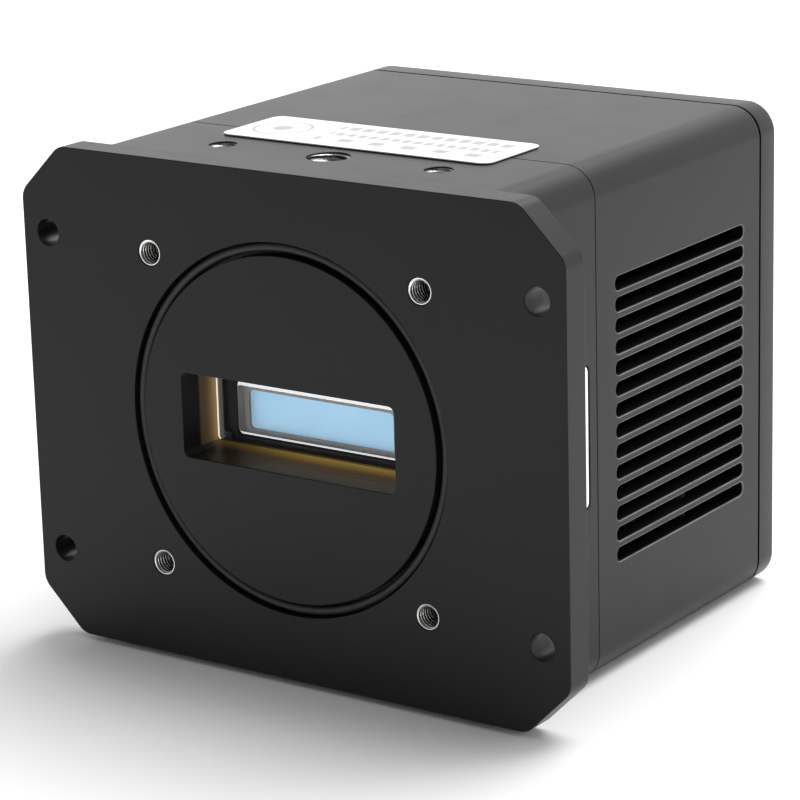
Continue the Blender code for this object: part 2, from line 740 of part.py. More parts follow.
def make_sockets(stand, finishes):
    """Data, power and trigger sockets, facing back through the rear cover."""
    usb_x = -14 * MM
    usb = stand_on_board((usb_x - 6 * MM, usb_x + 6 * MM), (47.6 * MM, PORT_FACE), 10.4 * MM)
    usb = add("usb_port", usb, finishes["steel"], stand)
    middle = PORT_BOTTOM + 5.2 * MM
    mouth = [
        (usb_x - 4.3 * MM, middle - 4 * MM), (usb_x + 4.3 * MM, middle - 4 * MM),
        (usb_x + 4.3 * MM, middle + 2.4 * MM), (usb_x + 2.7 * MM, middle + 4 * MM),
        (usb_x - 2.7 * MM, middle + 4 * MM), (usb_x - 4.3 * MM, middle + 2.4 * MM),
    ]
    cut(usb, "usb_mouth", prism(mouth, PORT_FACE - 9 * MM, PORT_FACE + MM))
    tongue = block(
        (usb_x - 2.8 * MM, usb_x + 2.8 * MM),
        (PORT_FACE - 8.7 * MM, PORT_FACE - 0.8 * MM),
        (middle - 1.6 * MM, middle + 1.6 * MM),
    )
    add("usb_tongue", tongue, finishes["blue_plastic"], stand)

    power_x = 14.5 * MM
    jack = stand_on_board((power_x - 4.5 * MM, power_x + 4.5 * MM), (50.2 * MM, PORT_FACE), 10.8 * MM)
    jack = add("power_jack", jack, finishes["black_plastic"], stand)
    axis = (power_x, PORT_BOTTOM + 5.6 * MM)
    cut(jack, "jack_bore", prism(circle(3.2 * MM, axis), PORT_FACE - 9.2 * MM, PORT_FACE + MM))
    pin = turned([(0, -MM), (0.7 * MM, -MM), (MM, -1.4 * MM), (MM, -8.9 * MM), (0, -8.9 * MM)], 12)
    add("power_jack_pin", pin, finishes["steel"], stand, (axis[0], PORT_FACE, axis[1]), smooth=True)

    trigger = stand_on_board((-2.5 * MM, 4.5 * MM), (51.5 * MM, PORT_FACE), 6.4 * MM)
    trigger = add("trigger_jack", trigger, finishes["black_plastic"], stand)
    axis = (MM, PORT_BOTTOM + 3.2 * MM)
    cut(trigger, "trigger_bore", prism(circle(1.8 * MM, axis, 16), PORT_FACE - 11 * MM, PORT_FACE + MM))


def make_main_board(stand, finishes):
    width, near, far = MAIN_BOARD
    bottom = MAIN_BOARD_TOP - BOARD_THICKNESS
    board = block((-width / 2, width / 2), (near, far), (bottom, MAIN_BOARD_TOP))
    add("main_board", board, finishes["board"], stand)
    chip = stand_on_board((-18 * MM, -6 * MM), (35.2 * MM, 47.2 * MM), 1.6 * MM)
    add("processor_chip", chip, finishes["chip"], stand)
    chip = stand_on_board((-2 * MM, 6 * MM), (35.6 * MM, 46.6 * MM), 1.1 * MM)
    add("memory_chip", chip, finishes["chip"], stand)
    coil = stand_on_board((13.5 * MM, 20.5 * MM), (31.5 * MM, 38.5 * MM), 4 * MM)
    add("power_inductor", coil, finishes["ferrite"], stand)
    for index, x in enumerate((13 * MM, 19.8 * MM), 1):
        can = turned([(0, 0), (3 * MM, 0), (3 * MM, 7 * MM), (0, 7 * MM)], 16)
        can = upright(can, x, 44.6 * MM, PORT_BOTTOM)
        add(f"capacitor_{index}", can, finishes["raw_aluminium"], stand, smooth=True)
    places = [(side * 20.5 * MM, depth) for depth in (31.2 * MM, 57 * MM) for side in (-1, 1)]
    for index, (x, depth) in enumerate(places, 1):
        spacer = upright(prism(circle(2 * MM, steps=10), 0, 1.1 * MM), x, depth, bottom - 1.4 * MM)
        add(f"board_spacer_{index}", spacer, finishes["brass"], stand, smooth=True)


def make_flex_cable(stand, finishes):
    """Flat cable from the sensor board, through the heat sink's slot, to the main board."""
    back = BOARD_DEPTH + BOARD_THICKNESS + GAP
    plug = block((-9 * MM, 9 * MM), (back, back + 2.4 * MM), (-22.2 * MM, -18.8 * MM))
    add("sensor_connector", plug, finishes["ivory_plastic"], stand)
    plug = stand_on_board((-9 * MM, 9 * MM), (30.8 * MM, 34.4 * MM), 2 * MM)
    add("board_connector", plug, finishes["ivory_plastic"], stand)

    level = -21 * MM
    landing = PORT_BOTTOM + MM
    start = back + 2.7 * MM
    strip = 0.3 * MM
    top = [(start, level), (27.6 * MM, level), (28.6 * MM, level - MM), (28.6 * MM, landing + MM)]
    top += [(29.2 * MM, landing), (30.5 * MM, landing)]
    under = [(depth - strip, z - strip) for depth, z in top[1:-1]]
    under = [(start, level - strip)] + under + [(30.5 * MM, landing - strip)]
    outline = [(-depth, z) for depth, z in top + under[::-1]]
    add("flex_cable", sideways(prism(outline, -8 * MM, 8 * MM), 0, 0, 0), finishes["polyimide"], stand)


# ---- Fasteners ----


def cap_screw(length, head_height):
    """Socket cap screw: head top at depth 0, shank running forward."""
    return turned([
        (0, 0), (HEAD_RADIUS, 0), (HEAD_RADIUS, -head_height),
        (SCREW_RADIUS, -head_height), (SCREW_RADIUS, -length), (0, -length),
    ], 14)


def add_screws(stem, finish, stand, x, z, rise, back, length, head_height):
    """Four screws at (+-x, rise +- z), each with a hexagon socket."""
    for index, (side, level) in enumerate(CORNERS, 1):
        location = (side * x, back, rise + level * z)
        screw = add(f"{stem}_{index}", cap_screw(length, head_height), finish, stand, location, smooth=True)
        cut(screw, f"{stem}_{index}_socket", prism(circle(1.35 * MM, steps=6), -1.1 * MM, MM))


def make_screws(stand, finishes):
    steel = finishes["black_steel"]
    add_screws(
        "tie_screw", steel, stand, TIE_OFFSET, TIE_OFFSET, 0,
        DEPTH - GAP, DEPTH - GAP - TIE_TIP, 2.4 * MM,
    )
    add_screws(
        "fan_screw", steel, stand, FAN_HOLE_OFFSET, FAN_HOLE_OFFSET, FAN_HEIGHT,
        DEPTH - 0.1 * MM, 9 * MM, 1.1 * MM,
    )
    back = SINK_BACK + GAP + 2.4 * MM
    add_screws("sink_screw", finishes["steel"], stand, *SINK_SCREW, 0, back, back - 14 * MM, 2.4 * MM)


def make_finishes():
    return {
        "anodised": make_finish("black_anodised", (0.035, 0.036, 0.038), 0.45, 0.6),
        "rubber": make_finish("rubber", (0.012, 0.012, 0.012), 0.7),
        "steel": make_finish("steel", (0.62, 0.62, 0.6), 0.25, 1.0),
        "black_steel": make_finish("black_steel", (0.05, 0.05, 0.05), 0.35, 1.0),
        "paper": make_finish("label", (0.85, 0.85, 0.86), 0.5),
        "opal": make_finish("opal_acrylic", (0.95, 0.96, 0.97), 0.3),
        "polyimide": make_finish("polyimide", (0.5, 0.3, 0.06), 0.35),
        "glass": make_finish("glass", (0.85, 0.92, 0.95), 0.02),
        "silicon": make_finish("silicon", (0.35, 0.63, 0.84), 0.2),
        "ceramic_black": make_finish("black_ceramic", (0.03, 0.03, 0.035), 0.5),
        "ceramic_white": make_finish("white_ceramic", (0.85, 0.85, 0.82), 0.6),
        "board": make_finish("circuit_board", (0.02, 0.12, 0.05), 0.5),
        "copper": make_finish("copper", (0.72, 0.38, 0.24), 0.35, 1.0),
        "foam": make_finish("foam", (0.08, 0.08, 0.08), 0.95),
        "pellet": make_finish("pellet", (0.35, 0.33, 0.32), 0.5, 0.8),
        "raw_aluminium": make_finish("aluminium", (0.7, 0.71, 0.72), 0.35, 1.0),
        "black_plastic": make_finish("black_plastic", (0.02, 0.02, 0.022), 0.55),
        "ferrite": make_finish("ferrite", (0.06, 0.06, 0.065), 0.6),
        "bronze": make_finish("bronze", (0.55, 0.36, 0.16), 0.4, 1.0),
        "brass": make_finish("brass", (0.78, 0.6, 0.28), 0.3, 1.0),
        "blue_plastic": make_finish("blue_plastic", (0.02, 0.12, 0.6), 0.4),
        "ivory_plastic": make_finish("ivory_plastic", (0.8, 0.77, 0.68), 0.5),
        "chip": make_finish("chip_epoxy", (0.025, 0.025, 0.027), 0.55),
    }


def make_camera():
    clear_scene()
    stand = make_stand()
    finishes = make_finishes()
    make_front_housing(stand, finishes["anodised"])
    make_body_shell(stand, finishes["anodised"])
    make_rear_cover(stand, finishes["anodised"], port_outlines())
    make_seal_label(stand, finishes["paper"])
    make_status_light(stand, finishes["opal"])
    make_thread_inserts(stand, finishes["steel"])
    make_o_ring(stand, finishes["rubber"])
    make_window_and_sensor(stand, finishes)
    make_sensor_board(stand, finishes)
    make_cooler(stand, finishes)
    make_heat_sink(stand, finishes)
    make_fan_frame(stand, finishes)
    make_fan_rotor(stand, finishes)
    make_sockets(stand, finishes)
    make_main_board(stand, finishes)
    make_flex_cable(stand, finishes)
    make_screws(stand, finishes)


make_camera()
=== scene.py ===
import math

import bmesh
import bpy
from mathutils import Matrix, Vector


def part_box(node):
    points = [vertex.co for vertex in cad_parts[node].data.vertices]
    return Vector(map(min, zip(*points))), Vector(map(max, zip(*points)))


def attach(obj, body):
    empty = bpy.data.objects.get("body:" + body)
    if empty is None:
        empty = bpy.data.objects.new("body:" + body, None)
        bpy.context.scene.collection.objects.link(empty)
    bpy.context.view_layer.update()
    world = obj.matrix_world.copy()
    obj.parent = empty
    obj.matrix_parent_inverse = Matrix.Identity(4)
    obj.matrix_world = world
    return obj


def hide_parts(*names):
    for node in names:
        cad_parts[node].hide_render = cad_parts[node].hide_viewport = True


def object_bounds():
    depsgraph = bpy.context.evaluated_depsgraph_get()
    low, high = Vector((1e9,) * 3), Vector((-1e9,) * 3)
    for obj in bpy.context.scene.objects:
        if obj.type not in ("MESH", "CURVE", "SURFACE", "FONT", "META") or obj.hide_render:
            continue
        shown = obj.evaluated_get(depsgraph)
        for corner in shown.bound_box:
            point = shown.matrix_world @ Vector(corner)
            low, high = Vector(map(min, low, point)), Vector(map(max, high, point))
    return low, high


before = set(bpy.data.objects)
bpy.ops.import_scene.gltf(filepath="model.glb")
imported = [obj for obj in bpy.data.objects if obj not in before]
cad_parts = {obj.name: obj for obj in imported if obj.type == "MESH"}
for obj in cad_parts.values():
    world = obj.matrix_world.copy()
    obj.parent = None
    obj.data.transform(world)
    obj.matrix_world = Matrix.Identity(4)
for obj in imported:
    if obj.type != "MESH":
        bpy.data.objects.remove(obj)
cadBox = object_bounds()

mm = 0.001

# Everything is shaped in millimetres about the optical axis: x to the right, depth back
# from the flange face, z up. The frame says where that axis and that face are.
housingLow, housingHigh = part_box("front_housing")
ringLow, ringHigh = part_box("o_ring")
origin = Vector((
    (ringLow.x + ringHigh.x) / 2,
    housingLow.y,
    (ringLow.z + ringHigh.z) / 2,
))


def span(node):
    # lowest and highest corner of a node, in millimetres about the axis
    low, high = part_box(node)
    return (low - origin) / mm, (high - origin) / mm


def middle(node):
    low, high = span(node)
    return (low + high) / 2


# half the distance between screws that stand in a square
insertOffset = round(abs(middle("thread_insert_1").x), 2)
tieOffset = round(abs(middle("tie_screw_1").x), 2)
fanOffset = round(abs(middle("fan_screw_1").x), 2)
print("frame read")

# Numbers, wires and trees


def maths(operation, flipped=False):
    # a method of Value that adds one Math node; flipped puts the other number first
    def method(self, *others):
        terms = (*others, self) if flipped else (self, *others)
        node = self.net.add("ShaderNodeMath", {"operation": operation}, dict(enumerate(terms)))
        return Value(self.net, node.outputs[0])

    return method


class Value:
    # one number coming out of a node, usable in Python sums
    def __init__(self, net, socket):
        self.net = net
        self.socket = socket

    __add__ = maths("ADD")
    __radd__ = maths("ADD", flipped=True)
    __sub__ = maths("SUBTRACT")
    __rsub__ = maths("SUBTRACT", flipped=True)
    __mul__ = maths("MULTIPLY")
    __rmul__ = maths("MULTIPLY", flipped=True)
    __truediv__ = maths("DIVIDE")
    __abs__ = maths("ABSOLUTE")
    sine = maths("SINE")
    cosine = maths("COSINE")
    root = maths("SQRT")
    pingPong = maths("PINGPONG")
    least = maths("MINIMUM")
    most = maths("MAXIMUM")

    def fade(self, low, high):
        # 0 below low, 1 above high, smooth in between
        node = self.net.add(
            "ShaderNodeMapRange",
            {"interpolation_type": "SMOOTHSTEP"},
            {"Value": self, "From Min": low, "From Max": high},
        )
        return Value(self.net, node.outputs[0])


class Net:
    # puts nodes in one tree and wires them
    def __init__(self, tree):
        self.tree = tree

    def add(self, kind, settings=None, inputs=None):
        node = self.tree.nodes.new(kind)
        for key, value in (settings or {}).items():
            setattr(node, key, value)
        for key, value in (inputs or {}).items():
            source = value.socket if isinstance(value, Value) else value
            if isinstance(source, bpy.types.NodeSocket):
                self.tree.links.new(source, node.inputs[key])
            else:
                node.inputs[key].default_value = source
        return node


class Paint(Net):
    # a material on the piece's own coordinates, in millimetres
    def __init__(self, name, colour, roughness, metallic=0.0, **fixed):
        self.material = bpy.data.materials.new(name)
        self.material.use_nodes = True
        super().__init__(self.material.node_tree)
        self.shader = self.tree.nodes["Principled BSDF"]
        self.give("Base Color", (*colour, 1))
        self.give("Roughness", roughness)
        self.give("Metallic", metallic)
        for key, value in fixed.items():
            self.give(key.replace("_", " "), value)
        self.material.diffuse_color = (*colour, 1)
        place = self.add("ShaderNodeTexCoord").outputs["Object"]
        scale = {"vector_type": "POINT"}
        shift = {"Vector": place, "Location": -origin / mm, "Scale": (1 / mm, 1 / mm, 1 / mm)}
        self.place = self.add("ShaderNodeMapping", scale, shift).outputs[0]

    def give(self, key, value):
        socket = self.shader.inputs[key]
        if isinstance(value, Value):
            value = value.socket
        if isinstance(value, bpy.types.NodeSocket):
            self.tree.links.new(value, socket)
        else:
            socket.default_value = value

    def axes(self):
        split = self.add("ShaderNodeSeparateXYZ", None, {0: self.place})
        return [Value(self, output) for output in split.outputs]

    def noise(self, size, detail=2.0, stretch=(1, 1, 1)):
        # size is how wide one blotch is, in millimetres
        place = self.add("ShaderNodeMapping", None, {"Vector": self.place, "Scale": stretch})
        node = self.add(
            "ShaderNodeTexNoise", None,
            {"Vector": place.outputs[0], "Scale": 1 / size, "Detail": detail},
        )
        return Value(self, node.outputs[0])

    def cells(self, size):
        node = self.add("ShaderNodeTexVoronoi", None, {"Vector": self.place, "Scale": 1 / size})
        return Value(self, node.outputs["Distance"])

    def mix(self, share, first, second):
        inputs = {0: share}
        for index, colour in ((6, first), (7, second)):
            inputs[index] = colour if isinstance(colour, bpy.types.NodeSocket) else (*colour, 1)
        node = self.add("ShaderNodeMix", {"data_type": "RGBA"}, inputs)
        return node.outputs[2]

    def bump(self, height, strength, distance):
        # distance is in millimetres
        node = self.add(
            "ShaderNodeBump", None,
            {"Height": height, "Strength": strength, "Distance": distance * mm},
        )
        self.give("Normal", node.outputs[0])


class Growth(Net):
    # a geometry tree with named sizes, run to give a plain mesh in millimetres
    def __init__(self, name, **sizes):
        tree = bpy.data.node_groups.new(name, "GeometryNodeTree")
        super().__init__(tree)
        tree.interface.new_socket("Geometry", in_out="OUTPUT", socket_type="NodeSocketGeometry")
        kinds = {int: "Int", float: "Float", bpy.types.Object: "Object"}
        self.sizes = sizes
        for key, value in sizes.items():
            kind = "NodeSocket" + kinds[type(value)]
            tree.interface.new_socket(key, in_out="INPUT", socket_type=kind)
        tree.interface.new_socket("material", in_out="INPUT", socket_type="NodeSocketMaterial")
        self.entry = tree.nodes.new("NodeGroupInput")
        self.exit = tree.nodes.new("NodeGroupOutput")

    def size(self, key):
        return Value(self, self.entry.outputs[key])

    def vector(self, x=0.0, y=0.0, z=0.0):
        return self.add("ShaderNodeCombineXYZ", None, {0: x, 1: y, 2: z}).outputs[0]

    def end(self, geometry):
        real = self.add("GeometryNodeRealizeInstances", None, {0: geometry})
        painted = self.add("GeometryNodeSetMaterial", None, {"Geometry": real.outputs[0]})
        self.tree.links.new(self.entry.outputs["material"], painted.inputs["Material"])
        self.tree.links.new(painted.outputs[0], self.exit.inputs[0])

    def run(self, paint, **changes):
        holder = bpy.data.objects.new("holder", bpy.data.meshes.new("holder"))
        bpy.context.collection.objects.link(holder)
        modifier = holder.modifiers.new("growth", "NODES")
        modifier.node_group = self.tree
        values = {**self.sizes, **changes, "material": paint and paint.material}
        for item in self.tree.interface.items_tree:
            if item.in_out == "INPUT":
                modifier[item.identifier] = values[item.name]
        graph = bpy.context.evaluated_depsgraph_get()
        mesh = bpy.data.meshes.new_from_object(holder.evaluated_get(graph))
        bpy.data.objects.remove(holder)
        shape = bmesh.new()
        shape.from_mesh(mesh)
        bpy.data.meshes.remove(mesh)
        return shape


# Outlines, as lists of (x, z)


def rounded(corners, radius, steps=8):
    corners = [Vector(corner) for corner in corners]
    radii = radius if isinstance(radius, (list, tuple)) else [radius] * len(corners)
    points = []
    for index, corner in enumerate(corners):
        back = (corners[index - 1] - corner).normalized()
        ahead = (corners[(index + 1) % len(corners)] - corner).normalized()
        half = back.angle(ahead) / 2
        centre = corner + (back + ahead).normalized() * (radii[index] / math.sin(half))
        spoke = corner + back * (radii[index] / math.tan(half)) - centre
        turn = math.pi - 2 * half
        if back.x * ahead.y - back.y * ahead.x > 0:
            turn = -turn
        for step in range(steps + 1):
            angle = turn * step / steps
            cosine, sine = math.cos(angle), math.sin(angle)
            points.append((
                centre.x + spoke.x * cosine - spoke.y * sine,
                centre.y + spoke.x * sine + spoke.y * cosine,
            ))
    return points


def rectangle(left, right, bottom, top):
    return [(left, bottom), (right, bottom), (right, top), (left, top)]


def panel(width, height, radius=0.0, centre=(0, 0), steps=8):
    x, z = centre
    corners = rectangle(x - width / 2, x + width / 2, z - height / 2, z + height / 2)
    return rounded(corners, radius, steps) if radius else corners


def circle(radius, centre=(0, 0), steps=48):
    return [
        (
            centre[0] + radius * math.cos(math.tau * step / steps),
            centre[1] + radius * math.sin(math.tau * step / steps),
        )
        for step in range(steps)
    ]


fourCorners = ((-1, 1), (1, 1), (1, -1), (-1, -1))


def fourTimes(x, z, rise=0.0):
    return [(side * x, rise + level * z) for side, level in fourCorners]


# Shapes


def loft(sections):
    # closed shape through outlines at the given depths
    shape = bmesh.new()
    rings = [[shape.verts.new((x, depth, z)) for x, z in outline] for depth, outline in sections]
    for near, far in zip(rings, rings[1:]):
        for index in range(len(near)):
            after = (index + 1) % len(near)
            shape.faces.new((near[index], near[after], far[after], far[index]))
    shape.faces.new(rings[0])
    shape.faces.new(rings[-1])
    bmesh.ops.recalc_face_normals(shape, faces=shape.faces)
    return shape


def prism(outline, near, far):
    return loft([(near, outline), (far, outline)])


def block(low, high):
    return prism(rectangle(low[0], high[0], low[2], high[2]), low[1], high[1])


def turned(profile, steps=48):
    # (radius, depth) points turned about the depth axis
    shape = bmesh.new()
    verts = [shape.verts.new((radius, depth, 0)) for radius, depth in profile]
    edges = [shape.edges.new(pair) for pair in zip(verts, verts[1:])]
    if profile[0][0] > 0:
        edges.append(shape.edges.new((verts[-1], verts[0])))
    bmesh.ops.spin(
        shape, geom=verts + edges, axis=(0, 1, 0), cent=(0, 0, 0),
        angle=math.tau, steps=steps, use_merge=True,
    )
    bmesh.ops.remove_doubles(shape, verts=shape.verts, dist=0.0001)
    bmesh.ops.recalc_face_normals(shape, faces=shape.faces)
    return shape


def tube(inner, outer, near, far, steps=48):
    return turned([(outer, near), (outer, far), (inner, far), (inner, near)], steps)


def moved(shape, x=0.0, depth=0.0, z=0.0):
    bmesh.ops.translate(shape, verts=shape.verts, vec=(x, depth, z))
    return shape


def swung(shape, axis, angle):
    turn = Matrix.Rotation(math.radians(angle), 3, axis)
    bmesh.ops.rotate(shape, verts=shape.verts, matrix=turn)
    return shape


def joined(shapes):
    whole = bmesh.new()
    for shape in shapes:
        mesh = bpy.data.meshes.new("part")
        shape.to_mesh(mesh)
        shape.free()
        whole.from_mesh(mesh)
        bpy.data.meshes.remove(mesh)
    return whole


def extent(shape):
    places = [vert.co for vert in shape.verts]
    low = Vector([min(place[axis] for place in places) for axis in range(3)])
    high = Vector([max(place[axis] for place in places) for axis in range(3)])
    return low, high


# Pieces


def stock(name, shape):
    mesh = bpy.data.meshes.new(name)
    shape.to_mesh(mesh)
    shape.free()
    piece = bpy.data.objects.new(name, mesh)
    bpy.context.collection.objects.link(piece)
    return piece


def settle(piece):
    # turn the live modifiers into plain mesh
    graph = bpy.context.evaluated_depsgraph_get()
    mesh = bpy.data.meshes.new_from_object(piece.evaluated_get(graph))
    piece.modifiers.clear()
    piece.data = mesh


def work(piece, shape, operation="DIFFERENCE"):
    tool = stock("tool", shape)
    boolean = piece.modifiers.new("work", "BOOLEAN")
    boolean.operation = operation
    boolean.solver = "EXACT"
    boolean.object = tool
    settle(piece)
    bpy.data.objects.remove(tool)


def soften(piece, width, segments=3, angle=35, spare=None):
    # rounded outer edges, width in the units the piece is still shaped in; the rest stay sharp
    shape = bmesh.new()
    shape.from_mesh(piece.data)
    weight = shape.edges.layers.float.new("bevel_weight_edge")
    for face in shape.faces:
        face.smooth = True
    for edge in shape.edges:
        if len(edge.link_faces) == 2 and edge.calc_face_angle() > math.radians(angle):
            spared = spare is not None and all(spare(vert.co) for vert in edge.verts)
            edge.smooth = edge.is_convex and not spared
            edge[weight] = float(edge.smooth)
    shape.to_mesh(piece.data)
    shape.free()
    bevel = piece.modifiers.new("soften", "BEVEL")
    bevel.width = width
    bevel.segments = segments
    bevel.limit_method = "WEIGHT"
    bevel.use_clamp_overlap = False
    bevel.harden_normals = True
    settle(piece)


def smooth(piece, angle=32):
    piece.data.shade_smooth()
    piece.data.set_sharp_from_angle(angle=math.radians(angle))


def finish(piece, paints, nodes=(), body="camera"):
    # place the piece in the frame, hang it on its body and hide the nodes it replaces
    if paints:
        for paint in paints if isinstance(paints, (list, tuple)) else [paints]:
            piece.data.materials.append(paint.material)
    piece.data.transform(Matrix.Translation(origin) @ Matrix.Scale(mm, 4))
    piece.data.name = piece.name
    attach(piece, body)
    if nodes:
        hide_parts(*nodes)


# Finishes


def grainy(name, dark, light, roughness, metallic=0.0, **look):
    # a base for the plainer finishes: blotches of two colours, uneven sheen and a fine grain
    blotch = look.pop("blotch", 3.0)
    grain = look.pop("grain", 0.2)
    depth = look.pop("depth", 0.02)
    stretch = look.pop("stretch", (1, 1, 1))
    paint = Paint(name, light, roughness[1], metallic, **look)
    patches = paint.noise(blotch, 3, stretch)
    fine = paint.noise(grain, 2, stretch)
    paint.give("Base Color", paint.mix((patches * 0.7 + fine * 0.3).fade(0.35, 0.65), dark, light))
    spread = roughness[1] - roughness[0]
    paint.give("Roughness", roughness[0] + spread * (patches * 0.5 + fine * 0.5))
    paint.bump(fine, 0.4, depth)
    return paint


def blackAnodised():
    # bead-blasted aluminium under a black dyed oxide
    look = {
        "dye": (0.0040, 0.0043, 0.0052),
        "worn": (0.0064, 0.0067, 0.0076),
        "pitSize": 0.22,
        "pitDepth": 0.012,
        "cloudSize": 18,
        "handledSize": 6,
        "sheen": 0.34,
        "sheenSpread": 0.09,
        "gloss": 1.34,
    }
    paint = Paint("blackAnodised", look["dye"], look["sheen"], 0.0, IOR=look["gloss"])
    pits = paint.noise(look["pitSize"], 2)
    coarse = paint.noise(look["pitSize"] * 4, 2)
    clouds = paint.noise(look["cloudSize"], 3)
    handled = paint.noise(look["handledSize"], 4).fade(0.45, 0.75)
    tint = clouds.fade(0.3, 0.7) * 0.6 + pits * 0.4
    paint.give("Base Color", paint.mix(tint, look["dye"], look["worn"]))
    rough = look["sheen"] + look["sheenSpread"] * (clouds * 0.5 + pits * 0.3 + handled * 0.2)
    paint.give("Roughness", rough)
    paint.bump(pits * 0.7 + coarse * 0.3, 0.35, look["pitDepth"])
    return paint


def band(distance, half, soft):
    # 1 nearer than half, 0 beyond it, with an edge twice as wide as soft
    return 1 - distance.fade(half - soft, half + soft)


def labelFilm(node):
    # white film with plain grey marks in place of printing, placed from its middle and front edge
    look = {
        "film": (0.80, 0.80, 0.81),
        "shade": (0.72, 0.72, 0.73),
        "ink": (0.33, 0.33, 0.335),
        "rows": (
            {"height": 9.7, "half": 0.95, "start": -8.0, "end": 17.4, "pitch": 2.05, "share": 0.72},
            {"height": 6.3, "half": 0.8, "start": -7.4, "end": 17.6, "pitch": 1.65, "share": 0.7},
            {"height": 3.3, "half": 0.85, "start": -7.7, "end": 17.6, "pitch": 4.7, "share": 0.42},
        ),
        "badge": {"along": -14.6, "height": 6.2, "radius": 3.7, "line": 0.42, "dot": 1.25},
    }
    low, high = span(node)
    paint = Paint("labelFilm", look["film"], 0.42, 0.0, Coat_Weight=0.1, Coat_Roughness=0.3)
    x, depth = paint.axes()[:2]
    along = x - (low.x + high.x) / 2
    across = depth - low.y
    ink = 0.0
    for row in look["rows"]:
        start, end, pitch = row["start"], row["end"], row["pitch"]
        line = band(abs(across - row["height"]), row["half"], 0.1)
        inside = along.fade(start, start + 0.1) * (1 - along.fade(end - 0.1, end))
        mark = band((along - start).pingPong(pitch / 2), row["share"] * pitch / 2, 0.06)
        ink = ink + line * inside * mark
    badge = look["badge"]
    sideways = along - badge["along"]
    upwards = across - badge["height"]
    distance = (sideways * sideways + upwards * upwards).root()
    ring = band(abs(distance - badge["radius"]), badge["line"] / 2, 0.05)
    dot = band(distance, badge["dot"], 0.05)
    ink = (ink + ring + dot).least(1.0)
    soft = 0.85 + 0.15 * paint.noise(0.6, 2)
    paper = paint.mix(paint.noise(6, 2), look["shade"], look["film"])
    paint.give("Base Color", paint.mix(ink * soft, paper, look["ink"]))
    paint.give("Roughness", 0.38 + 0.1 * paint.noise(1.2, 2))
    paint.bump(paint.noise(0.5, 2), 0.2, 0.01)
    return paint


def amberLining():
    # polyimide lining with painted shade and a painted glow: near black towards its mouth and the left,
    # brightening to glowing amber towards the window
    look = {
        # the near-black mouth colour and the brown are painted shade; the amber is the lining's own
        # colour
        "mouth": (0.0035, 0.0032, 0.003),
        "shadedBrown": (0.085, 0.054, 0.024),
        "amber": (0.62, 0.40, 0.10),
        # where each painted change of shade and light begins and ends: across, or back from the flange
        # face
        "leftWall": (-15.87, -15.72),
        "leftBrown": (3.25, 3.75),
        "leftAmber": (4.2, 8.0),
        "right": (-15.5, 0),
        "floorBrown": (-4.5, 5.0),
        "floorAmber": (4.6, 8.6),
        "paintedGlow": 0.3,
    }
    paint = Paint("amberLining", look["amber"], 0.4, 0.0, Specular_IOR_Level=0.2)
    x, depth = paint.axes()[:2]
    fibres = paint.noise(0.5, 3, (0.15, 1, 1))
    onLeft = 1 - x.fade(*look["leftWall"])
    right = x.fade(*look["right"])
    # painted shade: lifting from near black to brown going deeper, on the left wall and on the floor
    sideShadeLift = depth.fade(*look["leftBrown"]) * (0.75 + 0.25 * fibres)
    floorShadeLift = (depth + 0.4 * fibres).fade(*look["floorBrown"]) * right
    shade = onLeft * sideShadeLift + (1 - onLeft) * floorShadeLift
    base = paint.mix(shade, look["mouth"], look["shadedBrown"])
    # painted light: amber brightening towards the window, most on the right
    uneven = depth + 0.3 * fibres
    sideLitAmber = uneven.fade(*look["leftAmber"]) * 0.33
    floorLitAmber = uneven.fade(*look["floorAmber"]) * (0.25 + 0.75 * right)
    litAmberShare = onLeft * sideLitAmber + (1 - onLeft) * floorLitAmber
    colour = paint.mix(litAmberShare, base, look["amber"])
    paint.give("Base Color", colour)
    # painted glow: the lining glows though it is no lamp
    paint.give("Emission Color", colour)
    paint.give("Emission Strength", look["paintedGlow"])
    paint.give("Roughness", 0.36 + 0.15 * fibres)
    paint.bump(fibres, 0.15, 0.02)
    return paint


def windowGlass():
    paint = Paint(
        "windowGlass", (0.97, 0.99, 1.0), 0.02, 0.0,
        IOR=1.46, Transmission_Weight=1.0, Specular_IOR_Level=0.12,
    )
    paint.give("Roughness", 0.004 * paint.noise(5, 3).fade(0.5, 0.8))
    return paint


def groundEdge():
    # the ground border of the glass, made bright by a painted glow
    look = {
        "dull": (0.82, 0.83, 0.84),
        "clear": (0.97, 0.97, 0.97),
        "dullPaintedGlow": (0.85, 0.86, 0.88),
        "clearPaintedGlow": (1.0, 1.0, 1.0),
        "paintedGlow": 0.75,
    }
    paint = Paint("groundEdge", look["clear"], 0.35, 0.0)
    frost = paint.noise(0.15, 2)
    paint.give("Base Color", paint.mix(frost, look["dull"], look["clear"]))
    # painted glow: the border glows though it is no lamp
    paint.give("Emission Color", paint.mix(frost, look["dullPaintedGlow"], look["clearPaintedGlow"]))
    paint.give("Emission Strength", look["paintedGlow"])
    paint.bump(frost, 0.2, 0.01)
    return paint


def sensorSilicon():
    # coated silicon: even light blue with very fine pixel columns, lifted by a painted glow
    look = {
        "pale": (0.30, 0.54, 0.73),
        "blue": (0.27, 0.50, 0.69),
        "column": 0.1,
        "row": 0.14,
        "paintedGlow": 0.52,
    }
    paint = Paint("sensorSilicon", look["pale"], 0.22, 0.3)
    x, _, z = paint.axes()
    columns = x.pingPong(look["column"]) / look["column"]
    rows = z.pingPong(look["row"]) / look["row"]
    tint = paint.noise(7, 2) * 0.7 + columns.least(rows) * 0.3
    colour = paint.mix(tint.fade(0.2, 0.7), look["blue"], look["pale"])
    paint.give("Base Color", colour)
    # painted glow, brightening the die in its dark recess
    paint.give("Emission Color", colour)
    paint.give("Emission Strength", look["paintedGlow"])
    paint.give("Roughness", 0.2 + 0.06 * columns)
    return paint


